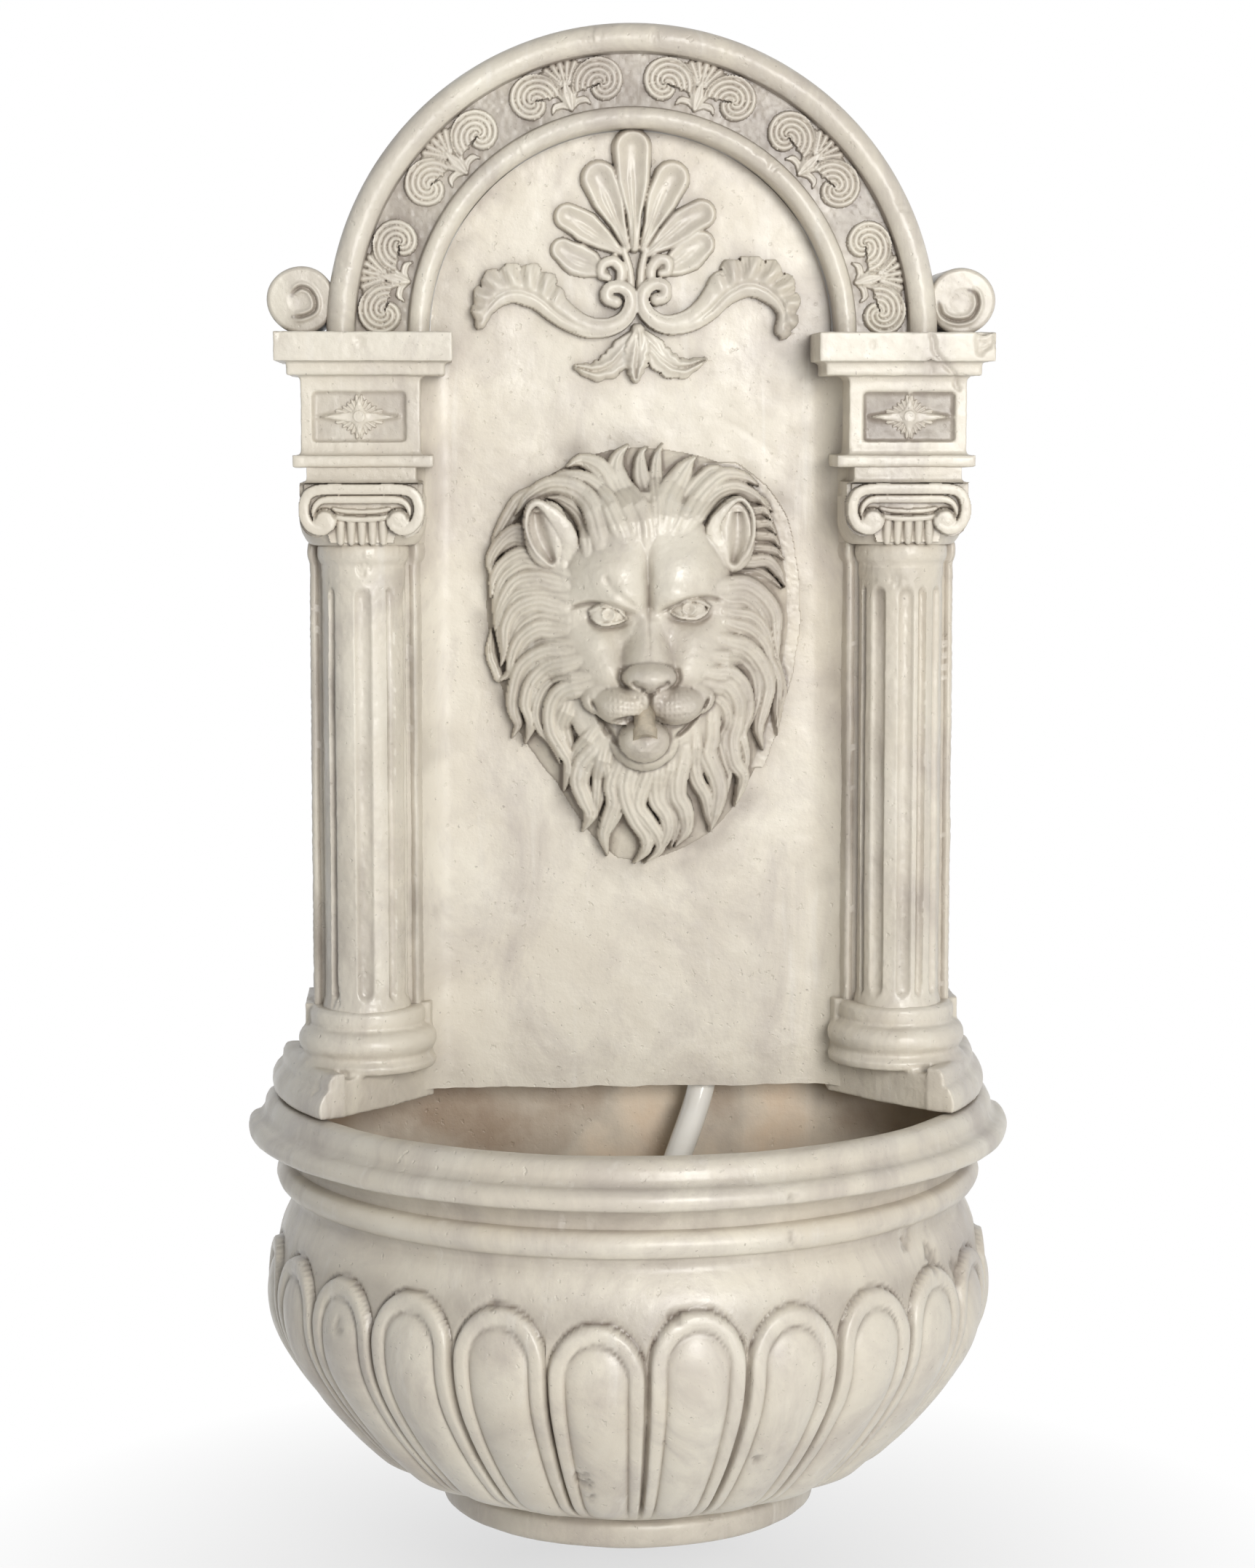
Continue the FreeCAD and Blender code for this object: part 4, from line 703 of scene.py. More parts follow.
def addBasin():
    path = bowlPath()
    lobes = basin["lobes"]
    inLobe = np.array(basin["acrossLobe"]) - 1
    across = np.concatenate([[-1], inLobe, [0], -inLobe[::-1]])
    number = np.repeat(np.arange(lobes), len(across))
    local = np.tile(across, lobes)
    number, local = np.append(number, lobes - 1), np.append(local, 1.0)
    sweep = (number + (local + 1) / 2) * math.pi / lobes
    wobble = 0.006 * valueNoise(number * 3.7, 0.5, 0.5, seed=5)
    radius, height = path.T[:, None, :]
    foot, top = basin["lobeFoot"], basin["lobeTop"]
    tangent = np.gradient(path, axis=0)
    tangent /= np.linalg.norm(tangent, axis=1)[:, None] + 1e-9
    outR, outZ = tangent[:, 1][None, :], -tangent[:, 0][None, :]
    rimIndex = int(np.argmax(path[:, 1]))
    outerSide = (np.arange(len(path)) < rimIndex)[None, :]
    lobeZone = outerSide & (height > foot) & (height < top + 14) & (radius > basin["footRadius"])
    safe = np.maximum(radius, 60)
    lift = lobeHeights(local[:, None], safe, height, number) * lobeZone
    sweep = sweep + wobble * np.sin(sweep)
    angle = sweep[:, None]
    x, y = -radius * np.cos(angle), -radius * np.sin(angle)
    z = height + 0 * angle
    uneven = basin["ripple"] * fractalNoise(x, y, z, 26, 2, seed=2) * np.minimum(1, radius / 90)
    fine = 0.12 * fractalNoise(x, y, z, 5, 3, seed=9) * outerSide
    edge = np.minimum(1, np.sin(angle) / 0.03 + 0 * radius)
    move = lift + (uneven + fine) * edge
    flat = np.column_stack([x.ravel(), y.ravel(), z.ravel()])
    chipped = chipAway(flat, bowlChips).reshape(move.shape) * outerSide
    move = move - basin["crumble"] * chipped
    x = x - outR * move * np.cos(angle)
    y = np.minimum(y - outR * move * np.sin(angle), 0)
    z = z + outZ * move
    y = y * (np.sin(angle) > 1e-6)
    points = np.dstack([x, y, np.maximum(z, 0)])
    # painted shade: darker in the creases between the lobes, under their feet, on the bowl between the lobe
    # tops and in the coves under the rim; the chipped patches are darker as well
    bare = bell(lift / 1.1) * smoothStep(60, 115, height) * smoothStep(top + 10, top - 6, height)
    bend = np.clip(hollowness(safe + 0 * angle, 2, 4), 0, 1) * outerSide * (height > top + 12)
    cut = hollowness(lift, 1, 3) * outerSide + 0.35 * ((height < foot) & (radius > basin["footRadius"]))
    wash = np.maximum(cut * 1.2, 0.42 * bare * lobeZone) + 0.5 * bend + 0.8 * chipped
    piece = sheetMesh("basinCasting", points)
    paintShadeAndWash(piece, np.clip(wash, 0, 1))
    tidyMesh(piece)
    return piece


def addBasinBack():
    # the flat wall that closes the bowl against the house wall
    inner = bowlPath()
    rim = int(np.argmax(inner[:, 1]))
    half = [(r + 3, z) for r, z in inner[rim + 5 :: 2] if z < 222]
    half = [(184, 229)] + half
    thick = basin["backWall"]
    outline = half + [(-r, z) for r, z in half[::-1]]
    outline = [p for i, p in enumerate(outline) if i == 0 or math.dist(p, outline[i - 1]) > 0.5]
    mesh = bpy.data.meshes.new("basinBackWall")
    mesh.from_pydata([(x * mm, -thick * mm, z * mm) for x, z in outline], [], [list(range(len(outline)))])
    piece = bpy.data.objects.new("basinBackWall", mesh)
    bpy.context.scene.collection.objects.link(piece)
    takeUp(piece)
    bpy.ops.object.mode_set(mode="EDIT")
    bpy.ops.mesh.select_all(action="SELECT")
    bpy.ops.mesh.extrude_region_move(TRANSFORM_OT_translate={"value": (0, thick * mm, 0)})
    bpy.ops.mesh.select_all(action="SELECT")
    bpy.ops.mesh.normals_make_consistent(inside=False)
    bpy.ops.object.mode_set(mode="OBJECT")
    return piece


def wetStain(board, colour):
    # brown and beige tide marks on the wet wall
    blotch = board.noise(13, 4, 0.55, board.mapped(scale=(1, 1, 0.8), shift=(0.2, 0, 0.4)), 0.2)
    colour = board.mix(board.ramp(blotch, [(0.36, 0.75), (0.6, 0.0)]), colour, stone["mud"])
    return board.mix(board.ramp(blotch, [(0.5, 0.0), (0.66, 0.85)]), colour, stone["tan"])


basinInside = castStone("basinInside", 0.55, wetStain)
finishCasting(addBasin(), "basin")
finishPiece(addBasinBack(), basinInside, "fountain", "cast_stone")


# Reliefs: heights over a flat face, as a carver would lay them down

nicheFace = 38  # where the panel's front stands, from the wall


def spot(x, z, centre, size, turn=0.0, power=2.0):
    # 1 at the centre of a soft round spot, near 0 beyond its size
    c, s = math.cos(turn), math.sin(turn)
    dx, dz = x - centre[0], z - centre[1]
    u, v = (dx * c + dz * s) / size[0], (-dx * s + dz * c) / size[1]
    return np.exp(-((u * u + v * v) ** (power / 2)))


def dome(x, z, centre, size, power=0.5):
    # a rounded mass: 1 in the middle, 0 at its edge and outside
    rho = ((x - centre[0]) / size[0]) ** 2 + ((z - centre[1]) / size[1]) ** 2
    return np.clip(1 - rho, 0, 1) ** power


def patchNear(x, z, line, width):
    near = np.array(line)
    low, high = near.min(axis=0) - width, near.max(axis=0) + width
    rows = (z[:, 0] >= low[1]) & (z[:, 0] <= high[1])
    columns = (x[0] >= low[0]) & (x[0] <= high[0])
    r, c = np.nonzero(rows)[0], np.nonzero(columns)[0]
    return slice(r[0], r[-1] + 1), slice(c[0], c[-1] + 1)


def alongPatch(x, z, points, width, perSpan=6):
    # the places near a line, and for each its distance, how far along it lies and the side
    line = smoothLine(points, perSpan)
    where = patchNear(x, z, line, width)
    return where, *nearLine(line, x[where], z[where])


def layOver(height, where, inside, shape, blend=0.5):
    height[where] = np.where(inside, softMax(height[where], shape, blend), height[where])


def raiseMass(height, x, z, foot, rise, centre, size, power, blend):
    # a rounded mass on its own footing, merged into what it grows from
    mass = foot + rise * dome(x, z, centre, size, power)
    return np.where(mass > foot, softMax(height, mass, blend), height)


def addRidge(height, x, z, points, widths, levels, rise, blend=0.5, power=0.5, groove=0.0):
    # a rounded lock or band laid over the relief; its edges fall steeply to what lies under it
    where, away, along, side = alongPatch(x, z, points, max(widths) + 1)
    u = away / np.maximum(blendValues(widths, along), 0.1)
    top = blendValues(levels, along) + rise * crown(u, power)
    if groove:
        across = side * u
        furrows = bell((across - 0.28) / 0.16) + 0.7 * bell((across + 0.42) / 0.13)
        top = top - groove * furrows * smoothStep(0.0, 0.2, along) * smoothStep(1.0, 0.8, along)
    layOver(height, where, u < 1, top, blend)


def cutGroove(height, x, z, points, widths, depth):
    where, away, along, _ = alongPatch(x, z, points, 3 * max(widths) + 1)
    u = away / np.maximum(blendValues(widths, along), 0.05)
    fade = np.clip(np.minimum(along, 1 - along) / 0.12, 0.15, 1)
    height[where] -= depth * fade * bell(u)


def reliefPiece(name, x, z, height, face, back):
    # the front of a relief as a grid, its outside let go and its edge closed against the face behind
    depth = np.where(height > 0, face + height, back)
    piece = sheetMesh(name, np.dstack([x, -depth, z]))
    # painted shade in the grooves and along the feet of the raised forms
    paintShadeAndWash(piece, hollowness(np.maximum(height, 0), 2, 7))
    dropFaces(piece, height > 0, 1)
    tidyMesh(piece, 75)
    return piece


# Lion mask

lion = {
    "span": (-84, 96, 346, 584),
    "step": 0.6,
    "middle": (6, 462),
    "face": (6, 476, 48, 75),
    "brow": ((-40, -32, -24, -16, -8, -1, 6, 12, 18, 26, 36, 50),
             (493, 495, 496, 494.5, 491.5, 489, 487, 490, 493.5, 497.5, 498, 496)),
    "bridge": (  # heights up the face, how far the nose stands out there and its half widths
        (448, 456, 464, 474, 483, 492, 496),
        (52, 58, 57, 51, 44, 37, 32),
        (13.5, 13.5, 12.5, 10.5, 8.5, 6, 5),
    ),
    "muzzle": [  # masses: footing, rise, centre, half sizes, roundness and blend
        (40, 19, (-6.8, 442), (15.5, 10.5), 0.6, 5.5),
        (38, 9, (-15.8, 445), (12, 9), 0.7, 6),
        (40, 19, (20, 442), (15.5, 10.5), 0.6, 5.5),
        (38, 9, (29, 445), (12, 9), 0.7, 6),
        (42, 16, (6.4, 448), (14, 11), 0.6, 3),
        (52, 15, (6.4, 457), (13.8, 8.0), 0.6, 4),
    ],
    "jaw": (31, 12, (4.8, 423), (18, 16), 0.6, 5),
    "chin": [(33, 12, (4.8, 416), (13, 9), 0.8, 5), (42, 19, (4.2, 424), (13, 11.5), 0.42, 5)],
    "nostril": [  # grooves: points from the middle line, half widths and depth
        ([(9.5, 456), (7.5, 453.2), (4.6, 452.0), (2.8, 450.2)], [1.2, 1.7, 1.7, 1.1], 6),
        ([(14.0, 462), (15.2, 456), (12.5, 452), (9, 453)], [1.2, 1.3, 1.2, 0.9], 2.6),
        ([(2.6, 450.4), (1.2, 448.6), (0, 447)], [0.9, 0.9, 0.9], 2.4),
    ],
    "mouthLines": [
        ([(-24, 446), (-20.5, 440), (-17, 433), (-13, 426), (-8, 420)], [0.8, 1.3, 1.9, 1.9, 1.0], 5),
        ([(38.5, 447.5), (35, 441), (31, 435), (26, 429), (20, 424)], [0.7, 1.0, 1.3, 1.3, 0.9], 4),
    ],
    "wrinkles": [
        ([(-17, 510), (-13, 503), (-6, 496.5), (1, 491.5)], [1.6, 2.0, 2.2, 1.4], 1.6),
        ([(2, 488.5), (-6, 491), (-15, 494), (-25, 494), (-35, 491)], [1.3, 1.5, 1.4, 1.3, 0.9], 2.6),
        ([(10, 489), (18, 493), (27, 496.5), (38, 497), (47, 494.5)], [1.3, 1.5, 1.4, 1.3, 0.9], 2.6),
    ],
    "eyes": [  # middle, inner and outer corner
        ((-14.2, 488.3), (-4.6, 486.4), (-23.4, 490.3)),
        ((27.3, 491.3), (17.0, 490.2), (38.2, 492.4)),
    ],
    "ears": [  # the rim and its half widths, the hollow
        ([(-42.5, 513), (-50.5, 520), (-55.5, 531), (-55, 541), (-50.5, 545.5), (-43.5, 541), (-36.5, 533),
          (-33, 524), (-36, 514)], [1.2, 1.3, 1.2, 1.3, 1.8, 3.6, 4.6, 4.2, 2.6],
         [(-50.8, 541), (-49.6, 532), (-46.8, 524), (-43, 516.5)]),
        ([(51, 512), (44.5, 521), (40.5, 531), (44.5, 540), (54, 547.5), (60.5, 541), (61.5, 530),
          (58.5, 520), (52, 512)], [2.4, 3.8, 3.8, 2.4, 1.3, 1.2, 1.2, 1.3, 1.4],
         [(53.5, 541), (53.6, 532), (53.2, 524), (51.5, 516)]),
    ],
    "outline": [
        (9, 576), (30, 573), (50, 567), (68, 554), (79, 538), (84, 515), (86, 492), (84, 465), (78, 440),
        (71, 415), (63, 396), (55, 382), (43, 369), (30, 361), (5, 353), (-8, 355), (-20, 366), (-31, 381),
        (-40, 396), (-52, 411), (-62, 427), (-70, 448), (-76, 475), (-78, 500), (-75, 520), (-68, 538),
        (-57, 553), (-34, 567), (-12, 575),
    ],
    "locks": [  # from the face to the tip, half width, layer
        ([(5, 526), (4, 536), (0, 545), (-6, 554), (-9, 563), (-7, 570), (-2, 575)], 4.5, 2),
        ([(10, 537), (9, 546), (5, 556), (4, 564), (5, 571), (8, 574)], 3.6, 1),
        ([(12, 537), (12, 549), (12, 560), (13, 569), (16, 576)], 3, 0),
        ([(15, 537), (18, 548), (24, 557), (29, 565), (33, 569)], 5.2, 2),
        ([(22, 536), (28, 547), (35, 556), (42, 562), (50, 562)], 3.6, 1),
        ([(27, 536), (34, 546), (41, 554), (49, 559), (59, 558), (66, 554)], 3.9, 2),
        ([(31, 537), (38, 545), (45, 551), (54, 553), (64, 549), (71, 542)], 3, 1),
        ([(-2, 534), (-6, 543), (-11, 551), (-14, 558), (-19, 564), (-27, 567), (-34, 564)], 4.8, 2),
        ([(-8, 532), (-12, 542), (-16, 549), (-23, 556), (-34, 559), (-46, 556)], 3.6, 1),
        ([(-18, 529), (-20, 538), (-24, 547), (-32, 553), (-43, 554), (-54, 548), (-61, 539)], 3.9, 2),
        ([(-24, 526), (-25, 534), (-30, 542), (-38, 547), (-45, 548)], 3, 1),
        ([(-48, 550), (-58, 546), (-65, 536), (-71, 525), (-73, 517)], 3.3, 0),
        ([(62, 548), (68, 546), (74, 540)], 1.7, 1),
        ([(64, 541), (69, 541), (74, 535)], 1.7, 1),
        ([(65, 534), (71, 534), (76, 528)], 1.8, 1),
        ([(65, 528), (73, 527), (78, 521)], 1.8, 1),
        ([(65, 521), (74, 520), (80, 515)], 2, 1),
        ([(61, 515), (70, 515), (76, 509), (80, 501)], 2.4, 2),
        ([(54, 510), (64, 510), (73, 505), (79, 500)], 2, 0),
        ([(49, 502), (58, 502), (67, 496), (73, 487), (74, 476), (76, 463)], 3.9, 2),
        ([(50, 495), (58, 494), (65, 487), (70, 477), (73, 468)], 3, 1),
        ([(52, 488), (61, 486), (68, 479), (72, 469), (76, 463)], 2.7, 2),
        ([(52, 482), (60, 479), (68, 471), (71, 460), (72, 447)], 3, 1),
        ([(49, 473), (58, 470), (66, 461), (70, 450), (68, 438), (66, 427), (69, 415)], 3.6, 2),
        ([(45, 466), (55, 464), (62, 456), (64, 445), (62, 434), (60, 426)], 3, 1),
        ([(75, 458), (78, 447), (77, 438), (76, 423)], 2.7, 0),
        ([(71, 463), (76, 452), (76, 438), (77, 422)], 2.1, 1),
        ([(42, 458), (50, 457), (57, 449), (59, 437), (56, 426), (59, 413), (59, 399)], 3, 2),
        ([(41, 452), (48, 450), (53, 442), (53, 431), (51, 422), (53, 410), (58, 401), (54, 385)], 3.6, 2),
        ([(41, 445), (46, 440), (48, 432), (45, 422), (47, 412), (50, 403), (50, 393)], 2.7, 1),
        ([(39, 436), (39, 424), (38, 415), (43, 403), (45, 395), (44, 385), (41, 372)], 3.9, 2),
        ([(31, 422), (31, 411), (33, 401), (38, 392), (40, 382), (42, 372)], 3, 1),
        ([(25, 413), (23, 403), (23, 393), (27, 385), (28, 374), (22, 364)], 3.6, 2),
        ([(18, 410), (16, 400), (16, 390), (22, 381), (22, 372), (20, 363)], 3, 1),
        ([(12, 409), (11, 400), (12, 390), (17, 382), (18, 372), (12, 358)], 3.3, 1),
        ([(8, 409), (4, 398), (2, 388), (7, 380), (13, 371), (14, 363), (6, 355)], 3.3, 2),
        ([(-2, 407), (-4, 398), (-2, 388), (2, 379), (7, 371), (7, 363), (1, 355)], 3.6, 2),
        ([(-8, 409), (-11, 399), (-10, 389), (-13, 379), (-15, 370), (-13, 359)], 3.3, 2),
        ([(-14, 412), (-12, 400), (-7, 390), (-8, 382), (-11, 373)], 2.4, 1),
        ([(-20, 417), (-26, 409), (-28, 400), (-25, 391), (-22, 382), (-26, 372)], 3.9, 2),
        ([(-15, 416), (-17, 406), (-18, 394), (-19, 380)], 3.3, 0),
        ([(-28, 451), (-37, 448), (-42, 440), (-42, 428), (-37, 418), (-33, 409), (-36, 394)], 3.6, 2),
        ([(-23, 425), (-29, 416), (-32, 407), (-33, 398)], 2.7, 1),
        ([(-30, 456), (-40, 454), (-47, 447), (-50, 437), (-48, 428), (-42, 420), (-38, 409)], 2.7, 1),
        ([(-34, 463), (-44, 460), (-52, 452), (-55, 441), (-53, 431), (-56, 419)], 3.6, 2),
        ([(-38, 468), (-47, 467), (-57, 460), (-61, 448), (-62, 437), (-60, 429), (-63, 422)], 3.6, 2),
        ([(-39, 473), (-48, 472), (-56, 466), (-59, 456), (-66, 454), (-69, 452)], 2.4, 1),
        ([(-41, 480), (-50, 480), (-58, 474), (-62, 465), (-64, 457), (-70, 452)], 3.6, 2),
        ([(-41, 486), (-50, 487), (-59, 481), (-63, 472), (-65, 464)], 3, 1),
        ([(-41, 492), (-50, 494), (-60, 490), (-65, 481), (-66, 470), (-69, 460)], 3.6, 2),
        ([(-41, 498), (-50, 499), (-60, 497), (-66, 489), (-69, 478), (-69, 466)], 2.7, 1),
        ([(-40, 504), (-50, 506), (-60, 504), (-66, 496), (-70, 487), (-72, 479)], 3.6, 2),
        ([(-40, 510), (-49, 512), (-58, 512), (-66, 506), (-70, 498), (-73, 488)], 3.3, 1),
        ([(-43, 515), (-51, 517), (-59, 518), (-67, 513), (-72, 505), (-74, 496)], 3.3, 2),
        ([(-54, 524), (-61, 526), (-68, 522), (-72, 516)], 3, 1),
        ([(-56, 530), (-62, 530), (-69, 524), (-74, 515), (-73, 505)], 2.7, 2),
        ([(-72, 460), (-74, 466), (-74, 479)], 2.1, 0),
        ([(-34, 440), (-37, 430), (-34, 419), (-32, 408)], 3.3, 0),
    ],
}


def outlineShare(x, z):
    # 0 at the middle of the mask, 1 on its outline
    cx, cz = lion["middle"]
    ring = np.array(lion["outline"] + lion["outline"][:1], float) - (cx, cz)
    turn = np.unwrap(np.arctan2(ring[:, 1], ring[:, 0]))
    reach = np.hypot(*ring.T)
    order = np.argsort(turn)
    angle = np.arctan2(z - cz, x - cx)
    low = turn.min()
    angle = low + np.mod(angle - low, 2 * math.pi)
    return np.hypot(x - cx, z - cz) / np.interp(angle, turn[order], reach[order])


def inFace(x, z):
    cx, cz, a, b = lion["face"]
    return ((x - cx) / a) ** 2 + ((z - cz) / b) ** 2 < 1


def browLine(x):
    along, level = lion["brow"]
    return np.interp(x, along, level)


def faceHeights(x, z):
    height = 23 + 19 * dome(x, z, (6, 476), (49, 76), 0.6)
    height += 3.5 * spot(x, z, (5, 522), (34, 26), 0, 2.5)
    for side, (bx, bz) in ((-1, (-13.5, 508)), (1, (27.5, 509))):
        height += 6.5 * spot(x, z, (bx, bz), (15.5, 14), 0, 2.6)
        height += 4.5 * spot(x, z, (bx - side * 7, bz - 12), (12, 7), -side * 0.3, 2.4)
        height += 6.0 * spot(x, z, (6 + side * 24, 469), (17, 15), side * 0.3, 2.2)
        height += 6.5 * spot(x, z, (6 + side * 18, 454), (15, 11), side * 0.5, 2.2)
    middle = 6.6 - 0.02 * (z - 495)
    down = smoothStep(538, 506, z) * smoothStep(484, 490, z)
    height -= 5.5 * down * np.exp(-np.abs((x - middle) / (2.2 + 0.05 * np.abs(z - 492))) ** 1.4)
    return height


def lionHeights(x, z):
    share = outlineShare(x, z)
    mane = 29 * np.clip(1 - share**2.3, 0, 1) - 1.5
    swirl = np.arctan2(z - 470, x - 6) * 46 + 5 * valueNoise(x / 14, z / 14, 0.5, seed=6)
    mane += 0.7 * np.sin(swirl) * smoothStep(0.98, 0.8, share)
    height = np.where(share > 1, -4, mane)
    plate = (outlineShare(x - 2.5, z) < 1.0) & (x > 20) & (z > 405) & (z < 566)
    height = np.where(plate, np.maximum(height, 2.0), height)
    face = faceHeights(x, z)
    height = np.where(inFace(x, z), softMax(height, face, 4), height)
    # the eyes lie under the brows
    under = smoothStep(0.8, -1.8, z - browLine(x))
    for ex, ez, lean in ((-14.5, 487.5, 0.08), (27.5, 490, -0.08)):
        height -= 5.5 * spot(x, z, (ex, ez), (14, 8.5), lean, 2.8) * under
    height -= 5.5 * spot(x, z, (-9, 475), (6.5, 14), 0.3, 2.2)
    height -= 2.2 * spot(x, z, (20, 476), (6, 12), -0.3, 2.2)
    # nose and muzzle
    along, levels, widths = lion["bridge"]
    level, width = np.interp(z, along, levels), np.interp(z, along, widths)
    bridge = level - 11 * (np.abs(x - 6.3) / width) ** 2.3
    height = np.where((z > 447) & (z < 496) & (bridge > 20), softMax(height, bridge, 5), height)
    height -= 1.0 * bell((x - 6.4) / 0.8) * smoothStep(468, 474, z) * smoothStep(492, 486, z)
    for mass in lion["muzzle"]:
        height = raiseMass(height, x, z, *mass)
    cutGroove(height, x, z, [(6.6, 450), (6.7, 444), (6.8, 438), (6.8, 434)], [1.1, 1.0, 1.3, 2.2], 5)
    for side in (-1, 1):
        for points, widths, depth in lion["nostril"]:
            cutGroove(height, x, z, [(6.5 + side * a, b) for a, b in points], widths, depth)
    # jaw, mouth and lips
    height = raiseMass(height, x, z, *lion["jaw"])
    hole = smoothStep(1.0, 0.7, np.sqrt(((x - 1) / 15) ** 2 + ((z - 434.5) / 3.4) ** 2))
    height = height * (1 - hole) + np.minimum(height, 46) * hole
    for points, widths, depth in lion["mouthLines"]:
        cutGroove(height, x, z, points, widths, depth)
    for mass in lion["chin"]:
        height = raiseMass(height, x, z, *mass)
    crumble = fractalNoise(x, z, 0.3, 5, 3, seed=12)  # the chin's worn patch
    height += 2.2 * crumble * spot(x, z, (4.5, 418), (18, 10), 0, 4)
    return height


def lionDetail(height, x, z):
    for (ex, ez), inner, outer in lion["eyes"]:
        height[:] = raiseMass(height, x, z, 38, 4.6, (ex, ez), (8.8, 5.0), 0.5, 0.5)
        ring = np.hypot(x - ex, (z - ez - 0.4) * 1.05)
        height[:] += 1.0 * bell((ring - 3.2) / 0.6) - 1.6 * bell(ring / 1.4)
        near, far = inner[0] - ex, outer[0] - ex
        up = [inner, (ex + near * 0.45, ez + 4.0), (ex + far * 0.35, ez + 4.9), outer]
        low = [(ex + near * 0.5, ez - 3.8), (ex + far * 0.3, ez - 4.8), (ex + far * 0.8, ez - 2.2)]
        low = [inner, *low, outer]
        addRidge(height, x, z, up, [0.6, 1.2, 1.4, 0.9], [39.6, 42.4, 42, 37], 2.0, 0.5)
        addRidge(height, x, z, low, [0.5, 0.9, 1.1, 1.0, 0.6], [39.6, 41, 40.8, 39, 37], 1.4, 0.5)
        bag = [(p[0] + (p[0] - ex) * 0.15, p[1] - 2.4) for p in low]
        cutGroove(height, x, z, bag, [0.8, 1, 1, 1, 0.8], 1.4)
    for points, widths, depth in lion["wrinkles"]:
        cutGroove(height, x, z, points, widths, depth)
    # the whiskers' pits
    for side in (-1, 1):
        for row in range(5):
            for k in range(8):
                wx = 6.5 + side * (4.5 + k * 2.5)
                wz = 446.5 - row * 3.0 + (0.18 * k * k) * (0.5 - 0.12 * row)
                height[:] -= 0.75 * np.exp(-(((x - wx) ** 2 + (z - wz) ** 2) / 0.5))
                height[:] += 0.35 * np.exp(-(((x - wx - 0.9) ** 2 + (z - wz - 0.6) ** 2) / 0.6))
    level = 25
    for rim, widths, hollow in lion["ears"]:
        rim = np.array(rim)
        reach = np.ptp(rim[:, 0]) / 2 + 0.5, np.ptp(rim[:, 1]) / 2 + 1
        height[:] = raiseMass(height, x, z, level, 6, rim.mean(axis=0), reach, 0.4, 1.0)
        addRidge(height, x, z, rim, widths, [level + k for k in (2, 4, 5, 5.5, 6, 6, 5.5, 4.5, 2)], 1.4, 1.6)
        away, along, _ = nearLine(smoothLine(hollow, 6), x, z)
        u = away / blendValues([2.4, 4.2, 4.0, 2.0], along)
        height[:] -= 5.0 * np.exp(-(u**2.6)) * smoothStep(-0.01, 0.02, along)


def addMane(height, x, z):
    for layer in (0, 1, 2):
        for points, width, where in lion["locks"]:
            if where != layer:
                continue
            line = np.array(points, float)
            lead = line[0] - line[1]
            line = np.vstack([line[0] + 6.5 * lead / np.hypot(*lead), line])  # the root runs on into the face
            at = outlineShare(line[:, 0], line[:, 1])
            rise = 3.4 + 0.2 * width
            ground = 0.8 + 25 * np.clip(1 - np.clip(at, 0, 1) ** 2.6, 0, 1) ** 0.8
            if width < 2.1:
                ground *= 0.62
            share = np.linspace(0, 1, len(line))
            levels = np.minimum(ground + np.linspace(1, 0.45, len(line)) * (0.6 + 2.2 * layer), 38)
            within = inFace(line[:, 0], line[:, 1])
            skin = np.where(within, faceHeights(line[:, 0], line[:, 1]), 0)
            levels = np.maximum(levels, skin + np.interp(share, [0, 0.3, 1], [0.5 - rise, -1.2, 0]))
            if within[0]:
                levels[0] = skin[0] - rise + 0.3
            taper = np.interp(share, [0, 0.12, 0.35, 0.7, 0.88, 1], [1.0, 1.1, 1.05, 0.88, 0.52, 0.1])
            addRidge(height, x, z, [tuple(p) for p in line], 1.4 * width * taper, levels, rise, 0.6, 0.6, 1.0)


def addLion():
    x0, x1, z0, z1 = lion["span"]
    x, z = np.meshgrid(np.arange(x0, x1, lion["step"]), np.arange(z0, z1, lion["step"]))
    height = lionHeights(x, z)
    addMane(height, x, z)
    lionDetail(height, x, z)
    grain = 0.28 * fractalNoise(x, z, height, 6, 3, seed=4) + 0.16 * valueNoise(x / 1.6, z / 1.6, 0.5, seed=8)
    height += grain * (height > 0)
    return reliefPiece("lionCarving", x, z, height, nicheFace, nicheFace - 1)


finishCasting(addLion(), "lion_mask")


# Crest

